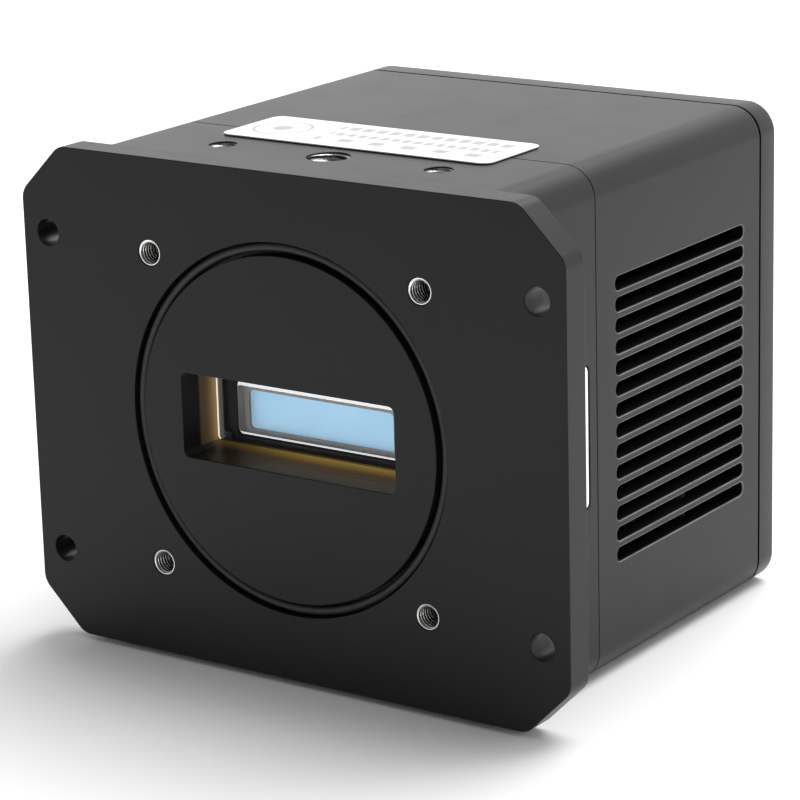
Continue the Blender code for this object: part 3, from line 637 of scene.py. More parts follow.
def circuitBoard():
    # green mask over copper tracks, with a weave showing through
    look = {
        "mask": (0.010, 0.075, 0.030),
        "track": (0.022, 0.135, 0.055),
        "gold": (0.80, 0.60, 0.25),
        "pitch": 1.3,
        "trackEdge": (0.28, 0.34),
        "padSpacing": 3.1,
        "padEdge": (0.09, 0.12),
    }
    paint = Paint("circuitBoard", look["mask"], 0.35, 0.0, Coat_Weight=0.3, Coat_Roughness=0.15)
    x, depth, z = paint.axes()
    bend = paint.noise(9, 1) * 6
    lines = (x + bend).pingPong(look["pitch"] / 2).fade(*look["trackEdge"])
    cross = (depth + z + bend).pingPong(look["pitch"] / 2).fade(*look["trackEdge"])
    zone = paint.noise(7, 1).fade(0.48, 0.52)
    tracks = lines * zone + cross * (1 - zone)
    weave = paint.noise(0.35, 1)
    mask = paint.mix(tracks, look["mask"], look["track"])
    pads = 1 - paint.cells(look["padSpacing"]).fade(*look["padEdge"])
    paint.give("Base Color", paint.mix(pads, mask, look["gold"]))
    paint.give("Metallic", pads)
    paint.give("Roughness", 0.28 + 0.12 * weave)
    paint.bump(tracks * 0.8 + pads * 0.6 + weave * 0.2, 0.3, 0.035)
    return paint


def machined(name, dark, light, roughness=(0.18, 0.34), stretch=(1, 30, 1), **look):
    return grainy(name, dark, light, roughness, 1.0, stretch=stretch, grain=0.3, depth=0.01, **look)


def bezelNickel():
    # dull plated frame with a painted highlight: a paler lip down its left side
    look = {
        "dark": (0.32, 0.31, 0.285),
        "light": (0.44, 0.425, 0.395),
        "lip": (0.80, 0.74, 0.64),
        "lipHighlightEdge": (-12.64, -12.58),
    }
    paint = Paint("bezelNickel", look["light"], 0.4, 0.1)
    x = paint.axes()[0]
    brushed = paint.noise(0.15, 2, (1, 1, 0.1))
    # painted highlight on the left lip
    lip = 1 - x.fade(*look["lipHighlightEdge"])
    metal = paint.mix(brushed, look["dark"], look["light"])
    paint.give("Base Color", paint.mix(lip, metal, look["lip"]))
    paint.give("Roughness", 0.34 + 0.12 * brushed)
    paint.bump(brushed, 0.15, 0.006)
    return paint


def threadSteel():
    # bright crests and a painted highlight at the mouth, near-black roots of painted shade, and painted
    # shade growing darker with depth
    look = {
        "root": (0.012, 0.012, 0.012),
        "crest": (0.88, 0.87, 0.85),
        "crestEdge": (1.78, 2.0),  # squared distances from the screw's axis
        "mouth": 0.32,
    }
    paint = Paint("threadSteel", look["crest"], 0.2, 1.0)
    x, depth, z = paint.axes()
    across = abs(x) - insertOffset
    up = abs(z) - insertOffset
    radius = across * across + up * up
    scratch = paint.noise(0.3, 2)
    crest = 1 - (radius + 0.12 * scratch).fade(*look["crestEdge"])
    # painted highlight on the first turn at the mouth
    mouth = 1 - depth.fade(look["mouth"], look["mouth"] + 0.15)
    # painted shade, darker with depth
    lit = (crest * (1.1 - 0.1 * depth)).most(mouth * (0.8 + 0.4 * scratch))
    paint.give("Base Color", paint.mix(lit, look["root"], look["crest"]))
    paint.give("Roughness", 0.12 + 0.16 * scratch)
    paint.bump(scratch, 0.2, 0.01)
    return paint


black = blackAnodised()
finishes = {
    "ring": grainy(
        "ringRubber", (0.008, 0.008, 0.009), (0.016, 0.016, 0.017), (0.42, 0.6), grain=0.3,
    ),
    "thread": threadSteel(),
    "bezel": bezelNickel(),
    "package": grainy(
        "blackCeramic", (0.010, 0.010, 0.012), (0.022, 0.022, 0.026), (0.42, 0.55), grain=0.1,
    ),
    "board": circuitBoard(),
    "copper": machined("copper", (0.55, 0.24, 0.13), (0.80, 0.42, 0.26)),
    "foam": grainy(
        "insulatorFoam", (0.030, 0.030, 0.032), (0.09, 0.09, 0.09), (0.85, 0.98),
        grain=0.35, depth=0.1,
    ),
    "ceramic": grainy("whiteCeramic", (0.74, 0.73, 0.70), (0.88, 0.87, 0.85), (0.4, 0.6), grain=0.12),
    "pellet": grainy(
        "coolerPellets", (0.22, 0.21, 0.20), (0.42, 0.40, 0.38), (0.35, 0.6), 0.8, blotch=0.8,
    ),
    "aluminium": machined("bareAluminium", (0.58, 0.59, 0.60), (0.78, 0.79, 0.80)),
    "plastic": grainy(
        "blackPlastic", (0.010, 0.010, 0.011), (0.022, 0.022, 0.024), (0.38, 0.55), grain=0.25,
    ),
    "ferrite": grainy("greyFerrite", (0.030, 0.030, 0.033), (0.07, 0.07, 0.075), (0.5, 0.7), grain=0.12),
    "bronze": machined("sinteredBronze", (0.36, 0.22, 0.09), (0.60, 0.39, 0.18), (0.3, 0.5)),
    "brass": machined("turnedBrass", (0.62, 0.44, 0.18), (0.85, 0.66, 0.32)),
    "blue": grainy("bluePlastic", (0.010, 0.055, 0.36), (0.016, 0.09, 0.50), (0.3, 0.45)),
    "ivory": grainy("ivoryPlastic", (0.66, 0.62, 0.52), (0.80, 0.77, 0.68), (0.4, 0.55)),
    "chip": grainy("chipEpoxy", (0.014, 0.014, 0.015), (0.034, 0.034, 0.036), (0.45, 0.65), grain=0.12),
    "screw": grainy(
        "blackOxide", (0.012, 0.012, 0.013), (0.045, 0.045, 0.048), (0.25, 0.42), 0.85, grain=0.2,
    ),
    # paler vent rims: worn edges with a painted highlight
    "edge": grainy("wornEdge", (0.11, 0.11, 0.112), (0.17, 0.17, 0.172), (0.35, 0.5), 0.2, grain=0.2),
    "bare": machined("bareThread", (0.16, 0.16, 0.16), (0.42, 0.42, 0.41), (0.22, 0.36)),
    "steel": machined("brightSteel", (0.52, 0.52, 0.51), (0.76, 0.76, 0.75)),
    "gold": machined("goldContact", (0.75, 0.52, 0.18), (0.95, 0.72, 0.32)),
    "opal": grainy(
        "opalAcrylic", (0.86, 0.87, 0.88), (0.97, 0.97, 0.98), (0.2, 0.32),
        Emission_Color=(1, 1, 1, 1), Emission_Strength=0.3, Subsurface_Weight=0.0,
    ),
}
amber = amberLining()
print("finishes ready")

# Geometry trees


def ventTree():
    # bars with rounded ends, long along y and deep along z, in a row along x
    vent = {"count": 14, "pitch": 2.64, "length": 31.8, "height": 1.8, "corner": 0.82, "reach": 8.0}
    net = Growth("ventRow", **vent)
    bar = net.add("GeometryNodeCurvePrimitiveQuadrilateral", None, {
        "Width": net.size("height"), "Height": net.size("length"),
    })
    eased = net.add("GeometryNodeFilletCurve", {"mode": "POLY"}, {
        "Curve": bar.outputs[0], "Radius": net.size("corner"), "Count": 7,
    })
    line = net.add("GeometryNodeCurvePrimitiveLine", None, {"End": net.vector(z=net.size("reach"))})
    solid = net.add("GeometryNodeCurveToMesh", None, {
        "Curve": line.outputs[0], "Profile Curve": eased.outputs[0], "Fill Caps": True,
    })
    row = net.add("GeometryNodeMeshLine", None, {
        "Count": net.size("count"), "Offset": net.vector(x=net.size("pitch")),
    })
    each = net.add("GeometryNodeInstanceOnPoints", None, {0: row.outputs[0], 2: solid.outputs[0]})
    net.end(each.outputs[0])
    return net


def threadTree():
    # a cut thread seen from inside: a sleeve whose inner wall climbs round the axis
    thread = {"crest": 1.29, "root": 1.5, "pitch": 0.5, "length": 6.35}
    ease = 0.15
    net = Growth("threadSleeve", **thread)
    grid = net.add("GeometryNodeMeshGrid", None, {
        "Size X": 1.0, "Size Y": 1.0, "Vertices X": 49, "Vertices Y": 97,
    })
    place = net.add("GeometryNodeInputPosition").outputs[0]
    split = net.add("ShaderNodeSeparateXYZ", None, {0: place})
    around = Value(net, split.outputs[0]) + 0.5
    along = (Value(net, split.outputs[1]) + 0.5) * net.size("length")
    depth = net.size("root") - net.size("crest")
    climb = (along / net.size("pitch") + around).pingPong(0.5) * 2
    ends = along.fade(0.0, ease) * (1 - along.fade(net.size("length") - ease, net.size("length")))
    radius = net.size("root") - depth * climb.fade(0.1, 0.9) * ends
    turn = around * math.tau
    bent = net.vector(turn.cosine() * radius, along, turn.sine() * radius)
    wall = net.add("GeometryNodeSetPosition", None, {0: grid.outputs[0], "Position": bent})
    closed = net.add("GeometryNodeMergeByDistance", None, {0: wall.outputs[0], "Distance": 0.0005})
    net.end(closed.outputs[0])
    return net


def aroundTree(thing):
    # the thing, repeated round the depth axis
    net = Growth("roundTheAxis", count=7, thing=thing)
    start = net.add("GeometryNodeMeshLine", None, {"Count": net.size("count"), "Offset": (0, 0, 0)})
    part = net.add("GeometryNodeObjectInfo", {"transform_space": "ORIGINAL"}, {
        "Object": net.entry.outputs["thing"],
    })
    number = Value(net, net.add("GeometryNodeInputIndex").outputs[0])
    turn = net.vector(y=number * math.tau / net.size("count"))
    each = net.add("GeometryNodeInstanceOnPoints", None, {
        0: start.outputs[0], 2: part.outputs["Geometry"], "Rotation": turn,
    })
    net.end(each.outputs[0])
    return net


def rowTree(thing):
    # the thing, repeated along x and again along z
    net = Growth("rowsAndColumns", columns=4, rows=1, stepX=1.0, stepY=0.0, stepZ=1.0, thing=thing)
    part = net.add("GeometryNodeObjectInfo", {"transform_space": "ORIGINAL"}, {
        "Object": net.entry.outputs["thing"],
    })
    line = net.add("GeometryNodeMeshLine", None, {
        "Count": net.size("columns"), "Offset": net.vector(net.size("stepX")),
    })
    row = net.add("GeometryNodeInstanceOnPoints", None, {
        0: line.outputs[0], 2: part.outputs["Geometry"],
    })
    lift = net.add("GeometryNodeMeshLine", None, {
        "Count": net.size("rows"), "Offset": net.vector(0, net.size("stepY"), net.size("stepZ")),
    })
    field = net.add("GeometryNodeInstanceOnPoints", None, {0: lift.outputs[0], 2: row.outputs[0]})
    net.end(field.outputs[0])
    return net


def repeat(tree, thing, paint=None, **sizes):
    # run a tree on a throwaway object
    part = stock("part", thing)
    shape = tree(part).run(paint, thing=part, **sizes)
    bpy.data.objects.remove(part)
    return shape


ventRow = ventTree()
threadWall = threadTree()
print("trees grown")

# Casing

housing = span("front_housing")
sleeve = span("body_shell")
cover = span("rear_cover")

casing = {
    "corner": 4.0,
    "insideHalf": 29.5,
    "insideWaist": 24.0,
    "insideEase": 1.2,
    "screwHole": 1.8,
    "seamLap": 0.06,
    "edge": 0.12,
}
pocket = {"width": 31.8, "height": 10.8, "corner": 0.9}
tripodThread = {"crest": 2.3, "root": 2.68, "pitch": 1.27}
sideThread = {"crest": 1.48, "root": 1.71, "pitch": 0.7}
topHoles = {
    "depth": 10.5,
    "reach": 7.0,
    "threadLength": 6.0,
    "threadSink": 0.22,
    "wall": 0.03,
    "slack": 0.01,
    "places": ((0.0, tripodThread), (-16.0, sideThread), (16.0, sideThread)),
}


def bodyOutline(inset=0.0):
    low, high = sleeve
    corners = rectangle(low.x + inset, high.x - inset, low.z + inset, high.z - inset)
    return rounded(corners, casing["corner"] - inset, 10)


def crossOutline():
    arm, waist = casing["insideHalf"], casing["insideWaist"]
    corners = [
        (-waist, -arm), (waist, -arm), (waist, -waist), (arm, -waist),
        (arm, waist), (waist, waist), (waist, arm), (-waist, arm),
        (-waist, waist), (-arm, waist), (-arm, -waist), (-waist, -waist),
    ]
    return rounded(corners, casing["insideEase"], 4)


def drill(piece, radius, places, near, far, steps=40):
    holes = [prism(circle(radius, place, steps), near, far) for place in places]
    work(piece, joined(holes))


def nearPocket(place, slack=0.02):
    inWidth = abs(place.x) < pocket["width"] / 2 + slack
    return inWidth and abs(place.z) < pocket["height"] / 2 + slack


def frontHousing():
    plate = {
        "thick": 4.0,
        "cut": 6.2,
        "ease": 2.6,
        "cornerHoles": (36.1, 20.8, 1.7),  # x, z and radius
        "insertHole": (1.66, 7.2),  # radius and depth
        "groove": (21.8, 23.45, 1.8),  # inside and outside radius, depth
        "pocketWall": 3.3,
        "seat": (37.0, 16.0),  # width and height
        "seatEnd": 10.0,
        "chamber": (45.6, 3.0),  # side and corner
        "chamberStart": 9.0,
        "screwStart": 11.7,
        "lightSlot": (2.0, 18.1),  # width and height
        "lightReach": (21.0, 34.0),  # from and to, across
        "flush": 1.5,
    }
    high = housing[1]
    thick = plate["thick"]
    x, z, cut = high.x, high.z, plate["cut"]
    corners = [
        (-x + cut, -z), (x - cut, -z), (x, -z + cut), (x, z - cut),
        (x - cut, z), (-x + cut, z), (-x, z - cut), (-x, -z + cut),
    ]
    piece = stock("frontHousing", prism(rounded(corners, plate["ease"], 8), 0, thick))
    work(piece, prism(bodyOutline(), thick, high.y), "UNION")

    opening = panel(pocket["width"], pocket["height"], pocket["corner"])
    work(piece, prism(opening, -1, plate["pocketWall"] + 1))
    work(piece, prism(panel(*plate["seat"]), plate["pocketWall"], plate["seatEnd"]))
    side, corner = plate["chamber"]
    work(piece, prism(panel(side, side, corner), plate["chamberStart"], high.y + 1))
    inner, outer, deep = plate["groove"]
    work(piece, tube(inner, outer, -1, deep, 160))
    holeX, holeZ, radius = plate["cornerHoles"]
    drill(piece, radius, fourTimes(holeX, holeZ), -1, thick + 1, 48)
    radius, deep = plate["insertHole"]
    drill(piece, radius, fourTimes(insertOffset, insertOffset), -1, deep, 48)
    ties = fourTimes(tieOffset, tieOffset)
    drill(piece, casing["screwHole"], ties, plate["screwStart"], high.y + 1, 24)
    for x, thread in topHoles["places"]:
        radius = thread["root"] + topHoles["wall"] + topHoles["slack"]
        hole = prism(circle(radius, steps=56), -topHoles["reach"], 1)
        work(piece, moved(swung(hole, "X", 90), x, topHoles["depth"], z))
    light = middle("status_light")
    width, height = plate["lightSlot"]
    slot = swung(prism(panel(width, height, width * 0.49), *plate["lightReach"]), "Z", -90)
    work(piece, moved(slot, 0, light.y, light.z))

    def flush(place):
        # the back edge of the plate runs into the body here
        return abs(place.y - thick) < 0.01 and abs(place.z) > z - plate["flush"]

    soften(piece, casing["edge"], spare=flush)
    # the pocket walls take the lining paint, with its painted shade near the mouth
    for face in piece.data.polygons:
        if nearPocket(face.center) and 0.2 < face.center.y < plate["pocketWall"] + 0.2:
            face.material_index = 1
    finish(piece, [black, amber], ["front_housing"])


def ventCutters(side):
    # the row turned to stand up one side wall, half in it and half out
    place = {"start": 24.5, "inwards": 1.0}
    low, high = sleeve
    rows = swung(ventRow.run(None), "Y", -90)
    first, last = extent(rows)
    outward = side * (high.x - place["inwards"]) - (first.x + last.x) / 2
    upward = (low.z + high.z) / 2 - (first.z + last.z) / 2
    return moved(rows, outward, place["start"] - first.y, upward)


def bodySleeve():
    rim = {"width": 0.15, "half": 19.8, "start": 24.0, "end": 57.0}
    high = sleeve[1]
    start = housing[1].y + casing["seamLap"]
    piece = stock("bodySleeve", prism(bodyOutline(), start, high.y))
    work(piece, prism(crossOutline(), start - 1, high.y + 1))
    drill(piece, casing["screwHole"], fourTimes(tieOffset, tieOffset), start - 1, high.y + 1, 24)
    for side in (-1, 1):
        cutters = ventCutters(side)
        bmesh.ops.recalc_face_normals(cutters, faces=cutters.faces)
        work(piece, cutters)
    soften(piece, rim["width"])
    for face in piece.data.polygons:
        # the broken edges of the vents take a paler paint: worn edges that have lost their dye, and a
        # painted highlight
        place = face.center
        besideVent = abs(place.z) < rim["half"] and rim["start"] < place.y < rim["end"]
        slanted = 0.2 < abs(face.normal.x) < 0.97
        if besideVent and slanted and abs(place.x) > high.x - 0.2:
            face.material_index = 1
    finish(piece, [black, finishes["edge"]], ["body_shell"])


def sector(inner, outer, sweep, steps=20):
    # a piece of a ring, centred on the x axis
    corners = []
    for radius, first, last in ((outer, -sweep, sweep), (inner, sweep, -sweep)):
        for step in range(steps + 1):
            angle = first + (last - first) * step / steps
            corners.append((radius * math.cos(angle), radius * math.sin(angle)))
    return corners


def rearCover():
    lid = {
        "plate": 2.4,
        "round": 0.8,
        "rings": ((6.4, 9.0), (10.4, 13.0), (14.4, 17.0)),  # inside and outside radii
        "spoke": 1.8,
        "tiePocket": (3.05, 3.0),  # radius and depth
        "fanPocket": (3.05, 1.4),
        "slack": 0.4,
        "openingEase": 0.6,
        "joint": 0.04,
    }
    low, high = cover
    back = high.y
    size = lid["round"]
    arc = [math.radians(angle) for angle in (0, 22, 45, 68, 90)]
    rim = [(back - size + size * math.sin(a), bodyOutline(size - size * math.cos(a))) for a in arc]
    piece = stock("rearCover", loft([(low.y + lid["joint"], bodyOutline())] + rim))
    work(piece, prism(crossOutline(), low.y - 1, back - lid["plate"]))
    rise = middle("fan_rotor").z
    for inner, outer in lid["rings"]:
        sweep = math.pi / 4 - lid["spoke"] / (inner + outer)
        slot = prism(sector(inner, outer, sweep), back - lid["plate"] - 1, back + 1)
        slots = repeat(aroundTree, slot, count=4)
        work(piece, moved(slots, 0, 0, rise))
    slack = lid["slack"]
    for node in ("usb_port", "power_jack", "trigger_jack"):
        first, last = span(node)
        opening = rectangle(first.x - slack, last.x + slack, first.z - slack, last.z + slack)
        opening = rounded(opening, lid["openingEase"], 5)
        work(piece, prism(opening, back - lid["plate"] - 1, back + 1))
    for (radius, deep), offset, lift in (
        (lid["tiePocket"], tieOffset, 0), (lid["fanPocket"], fanOffset, rise)
    ):
        places = fourTimes(offset, offset, lift)
        drill(piece, casing["screwHole"], places, low.y - 1, back + 1, 32)
        drill(piece, radius, places, back - deep, back + 1, 48)
    smooth(piece, 35)
    finish(piece, black, ["rear_cover"])


def sleeved(shape, outer):
    # close a thread wall with end faces and an outer wall
    edges = [edge for edge in shape.edges if edge.is_boundary]
    partners = {}
    for edge in edges:
        for vert in edge.verts:
            if vert not in partners:
                flat = Vector((vert.co.x, 0, vert.co.z)).normalized() * outer
                partners[vert] = shape.verts.new((flat.x, vert.co.y, flat.z))
    for edge in edges:
        first, last = edge.verts
        shape.faces.new((first, last, partners[last], partners[first]))
    rims = [edge for edge in shape.edges if edge.is_boundary]
    bmesh.ops.bridge_loops(shape, edges=rims)
    bmesh.ops.recalc_face_normals(shape, faces=shape.faces)
    return shape


def threadInserts():
    insert = {"mouth": 0.15, "outer": 1.59}
    sleeveShape = sleeved(threadWall.run(None), insert["outer"])
    moved(sleeveShape, -insertOffset, insert["mouth"], -insertOffset)
    step = 2 * insertOffset
    shape = repeat(rowTree, sleeveShape, columns=2, rows=2, stepX=step, stepZ=step)
    piece = stock("threadInserts", shape)
    smooth(piece, 50)
    nodes = [f"thread_insert_{index}" for index in range(1, 5)]
    finish(piece, finishes["thread"], nodes)


def topThreads():
    length = topHoles["threadLength"]
    start = housing[1].z - length - topHoles["threadSink"]
    shapes = []
    for x, thread in topHoles["places"]:
        wall = threadWall.run(None, length=length, **thread)
        part = swung(sleeved(wall, thread["root"] + topHoles["wall"]), "X", 90)
        shapes.append(moved(part, x, topHoles["depth"], start))
    piece = stock("topThreads", joined(shapes))
    smooth(piece, 50)
    finish(piece, finishes["bare"])


def oRing():
    low, high = span("o_ring")
    section = (high.y - low.y) / 2
    radius = high.x - section
    profile = [(radius + x, (low.y + high.y) / 2 + z) for x, z in circle(section, steps=20)]
    piece = stock("oRing", turned(profile, 160))
    smooth(piece, 60)
    finish(piece, finishes["ring"], ["o_ring"])


def sealLabel():
    low, high = span("seal_label")
    size = high - low
    shape = swung(prism(panel(size.x, size.y, 1.5), 0, size.z), "X", 90)
    centre = middle("seal_label")
    piece = stock("sealLabel", moved(shape, centre.x, centre.y, low.z))
    soften(piece, 0.04, 2)
    finish(piece, labelFilm("seal_label"), ["seal_label"])


def statusLight():
    low, high = span("status_light")
    width, height = high.y - low.y, high.z - low.z
    shape = swung(prism(panel(width, height, width * 0.49, steps=10), low.x, high.x), "Z", -90)
    centre = middle("status_light")
    piece = stock("statusLight", moved(shape, 0, centre.y, centre.z))
    soften(piece, 0.18, 4)
    finish(piece, finishes["opal"], ["status_light"])


frontHousing()
bodySleeve()
rearCover()
threadInserts()
topThreads()
oRing()
sealLabel()
statusLight()
print("casing made")

# Sensor behind its window


def windowFrame():
    lining = {"outer": (36.2, 15.2), "start": 3.31, "end": 8.75}
    piece = stock("windowFrame", prism(panel(*lining["outer"]), lining["start"], lining["end"]))
    opening = panel(pocket["width"], pocket["height"], pocket["corner"])
    work(piece, prism(opening, 2, 10))
    soften(piece, 0.08, 2)
    finish(piece, amber, ["window_frame"])


def sensorWindow():
    # clear plate with a ground border of its own
    glass = {"grow": 0.15, "side": 0.5, "lip": 0.25, "drop": 0.35, "outerEase": 0.6, "innerEase": 0.5}
    low, high = span("sensor_window")
    left, right, bottom, top = low.x - glass["grow"], high.x + glass["grow"], low.z, high.z
    side, lip = glass["side"], glass["lip"]
    outer = rounded(rectangle(left, right, bottom, top), glass["outerEase"], 6)
    inner = rectangle(left + side, right - side, bottom + lip, top - lip)
    inner = rounded(inner, glass["innerEase"], 6)
    shape = loft([(high.y, outer), (low.y + glass["drop"], outer), (low.y, inner)])
    piece = stock("sensorWindow", shape)
    for face in piece.data.polygons:
        # painted highlight on the left side faces, painted shade in black round the rest
        if abs(face.normal.y) < 0.95:
            face.material_index = 1 if face.normal.x < -0.3 else 2
    paints = [windowGlass(), litEdge, finishes["package"]]
    finish(piece, paints, ["sensor_window"])


def sensorBezel():
    # a frame with a painted highlight on its slanted lips and painted shade in black on its inner wall
    rim = {
        "opening": (21.8, 5.0, 0.55),  # width, height and corner
        "top": 0.62,
        "bottom": 0.36,
        "side": 0.14,
        "drop": 0.3,
        "outerEase": 0.6,
        "innerEase": 0.45,
    }
    low, high = span("sensor_bezel")
    centre = middle("sensor_bezel")
    outer = rounded(rectangle(low.x, high.x, low.z, high.z), rim["outerEase"], 6)
    inner = rectangle(
        low.x + rim["side"], high.x - rim["side"], low.z + rim["bottom"], high.z - rim["top"],
    )
    inner = rounded(inner, rim["innerEase"], 6)
    shape = loft([(high.y, outer), (low.y + rim["drop"], outer), (low.y, inner)])
    piece = stock("sensorBezel", shape)
    for paint in (finishes["bezel"], litEdge, finishes["package"]):
        piece.data.materials.append(paint.material)
    for face in piece.data.polygons:
        # painted highlight on the slanted lips
        slanted = 0.02 < abs(face.normal.y) < 0.99
        face.material_index = 1 if slanted else 0
    width, height, radius = rim["opening"]
    work(piece, prism(panel(width, height, radius, (centre.x, centre.z)), low.y - 1, high.y + 1))
    for face in piece.data.polygons:
        away = face.center - centre
        within = abs(away.x) < width / 2 + 0.02 and abs(away.z) < height / 2 + 0.02
        # painted shade on the inner wall
        if within and abs(face.normal.y) < 0.1:
            face.material_index = 2
    finish(piece, None, ["sensor_bezel"])


def sensorDie():
    low, high = span("sensor_die")
    piece = stock("sensorDie", block(low, high))
    soften(piece, 0.04, 2)
    finish(piece, sensorSilicon(), ["sensor_die"])


def sensorPackage():
    carrier = {
        "face": (31.0, 9.2, 0.5),  # width, height and corner
        "back": 10.2,
        "well": (26.2, 7.6, 0.6),
        "wellFloor": 8.6,
        "slot": (1.3, 7.0, 0.3),
        "slotMiddle": -14.3,
        "slotDepth": 0.7,
    }
    front = span("sensor_package")[0].y
    centre = middle("sensor_package")
    spot = (centre.x, centre.z)
    beside = (carrier["slotMiddle"], centre.z)
    piece = stock("sensorPackage", prism(panel(*carrier["face"], spot), front, carrier["back"]))
    work(piece, prism(panel(*carrier["well"], spot), front - 1, carrier["wellFloor"]))
    work(piece, prism(panel(*carrier["slot"], beside), front - 1, front + carrier["slotDepth"]))
    soften(piece, 0.1, 2)
    finish(piece, finishes["package"], ["sensor_package"])


litEdge = groundEdge()
windowFrame()
sensorWindow()
sensorBezel()
sensorDie()
sensorPackage()
print("sensor made")

# Cooling fan


def fanFrame():
    case = {"corner": 3.0, "bore": 19.0, "hub": 9.5, "floor": 2.0, "spoke": 6.0, "seat": 2.7}
    low, high = span("fan_frame")
    rise = (low.z + high.z) / 2
    outline = rounded(rectangle(low.x, high.x, low.z, high.z), case["corner"], 8)
    piece = stock("fanFrame", prism(outline, low.y, high.y))
    floor = low.y + case["floor"]
    work(piece, prism(circle(case["bore"], (0, rise), 96), floor, high.y + 1))
    sweep = math.radians(45 - case["spoke"])
    window = sector(case["hub"], case["bore"] - 0.2, sweep)
    window = swung(prism(window, low.y - 1, floor + 0.5), "Y", 45)
    work(piece, moved(repeat(aroundTree, window, count=4), 0, 0, rise))
    screws = fourTimes(fanOffset, fanOffset, rise)
    drill(piece, casing["screwHole"], screws, low.y - 1, high.y + 1, 32)
    drill(piece, case["seat"], [(0, rise)], low.y - 1, floor + 1)
    soften(piece, 0.2)
    finish(piece, finishes["plastic"], ["fan_frame"])


def fanBlade(low, high):
    # a thin twisted plate, thickest a third of the way along
    blade = {
        "root": 8.1,
        "tip": 18.25,
        "sweep": 34,
        "lean": 10,
        "thick": 0.5,
        "rows": 10,
        "columns": 12,
    }
    rows, columns = blade["rows"], blade["columns"]
    shape = bmesh.new()
    grids = []
    for side in (-1, 1):
        grid = []
        for row in range(rows + 1):
            share = row / rows
            radius = blade["root"] + share * (blade["tip"] - blade["root"])
            line = []
            for column in range(columns + 1):
                along = column / columns
                belly = math.sqrt(max(0.04, math.sin(math.pi * along ** 0.8)))
                lean = math.radians(blade["sweep"]) * (along - 0.5) + math.radians(blade["lean"]) * share
                turn = lean + side * blade["thick"] * belly / radius
                depth = low + (high - low) * along
                line.append(shape.verts.new((radius * math.cos(turn), depth, radius * math.sin(turn))))
            grid.append(line)
        grids.append(grid)
    front, back = grids
    for grid in grids:
        for row in range(rows):
            for column in range(columns):
                shape.faces.new((
                    grid[row][column], grid[row][column + 1],
                    grid[row + 1][column + 1], grid[row + 1][column],
                ))
    rim = [(0, column) for column in range(columns)] + [(row, columns) for row in range(rows)]
    rim += [(rows, columns - column) for column in range(columns)]
    rim += [(rows - row, 0) for row in range(rows)]
    for index, (row, column) in enumerate(rim):
        nextRow, nextColumn = rim[(index + 1) % len(rim)]
        shape.faces.new((
            front[row][column], front[nextRow][nextColumn], back[nextRow][nextColumn], back[row][column],
        ))
    bmesh.ops.recalc_face_normals(shape, faces=shape.faces)
    return shape


def fanRotor():
    hub = {"radius": 8.5, "wall": 0.9, "cap": 1.2, "round": 0.7, "blades": 7, "bladeGap": 0.3}
    low, high = span("fan_rotor")
    centre = (low + high) / 2
    size = hub["round"]
    steps = [math.radians(angle) for angle in (0, 30, 60, 90)]
    nose = [
        (hub["radius"] - size + size * math.cos(a), high.y - size + size * math.sin(a))
        for a in reversed(steps)
    ]
    inner = hub["radius"] - hub["wall"]
    profile = [(0, high.y)] + nose + [
        (hub["radius"], low.y), (inner, low.y), (inner, high.y - hub["cap"]), (0, high.y - hub["cap"]),
    ]
    piece = stock("fanRotor", turned(profile, 72))
    blade = fanBlade(low.y + hub["bladeGap"], high.y - hub["bladeGap"])
    work(piece, repeat(aroundTree, blade, count=hub["blades"]), "UNION")
    piece.data.transform(Matrix.Translation((centre.x, 0, middle("fan_shaft").z)))
    smooth(piece, 40)
    finish(piece, finishes["plastic"], ["fan_rotor"], "fan")


fanFrame()
fanRotor()
print("fan made")

# Sockets at the back


def dataSocket():
    shell = {"half": (4.3, 4.0), "shoulder": (2.7, 2.4), "corner": 0.3, "deep": 9.0, "edge": 0.12}
    low, high = span("usb_port")
    centre = (low + high) / 2
    x, z = shell["half"]
    shoulderX, shoulderZ = shell["shoulder"]
    mouth = [
        (-x, -z), (x, -z), (x, shoulderZ), (shoulderX, z), (-shoulderX, z), (-x, shoulderZ),
    ]
    mouth = rounded([(centre.x + across, centre.z + up) for across, up in mouth], shell["corner"], 4)
    piece = stock("dataSocket", block(low, high))
    work(piece, prism(mouth, high.y - shell["deep"], high.y + 1))
    soften(piece, shell["edge"], 2)
    finish(piece, finishes["steel"], ["usb_port"])


def dataTongue():
    pins = {"count": 4, "pitch": 1.25, "width": 0.7, "length": 6.0, "thick": 0.07, "back": 0.6}
    low, high = span("usb_tongue")
    tongue = stock("dataTongue", block(low, high))
    soften(tongue, 0.15, 2)
    finish(tongue, finishes["blue"], ["usb_tongue"])

    first = (low.x + high.x) / 2 - pins["pitch"] * (pins["count"] - 1) / 2
    end = high.y - pins["back"]
    pin = block(
        (first - pins["width"] / 2, end - pins["length"], high.z),
        (first + pins["width"] / 2, end, high.z + pins["thick"]),
    )
    drop = high.z - low.z + pins["thick"]
    rows = repeat(rowTree, pin, columns=pins["count"], stepX=pins["pitch"], rows=2, stepZ=-drop)
    finish(stock("dataContacts", rows), finishes["gold"])


def powerJack():
    jack = {"bore": 3.2, "deep": 9.2, "rim": 3.9, "rimDeep": 0.5, "pinRadius": 1.0}
    low, high = span("power_jack")
    pinLow, pinHigh = span("power_jack_pin")
    spot = (middle("power_jack_pin").x, middle("power_jack_pin").z)
    piece = stock("powerJack", block(low, high))
    drill(piece, jack["bore"], [spot], high.y - jack["deep"], high.y + 1, 64)
    drill(piece, jack["rim"], [spot], high.y - jack["rimDeep"], high.y + 1, 64)
    soften(piece, 0.15, 2)
    finish(piece, finishes["plastic"], ["power_jack"])
    radius = jack["pinRadius"]
    profile = [(0, pinHigh.y), (radius * 0.55, pinHigh.y), (radius * 0.85, pinHigh.y - 0.2)]
    profile += [(radius, pinHigh.y - 0.6), (radius, pinLow.y), (0, pinLow.y)]
    pin = stock("powerPin", moved(turned(profile, 40), spot[0], 0, spot[1]))
    smooth(pin, 50)
    finish(pin, finishes["steel"], ["power_jack_pin"])


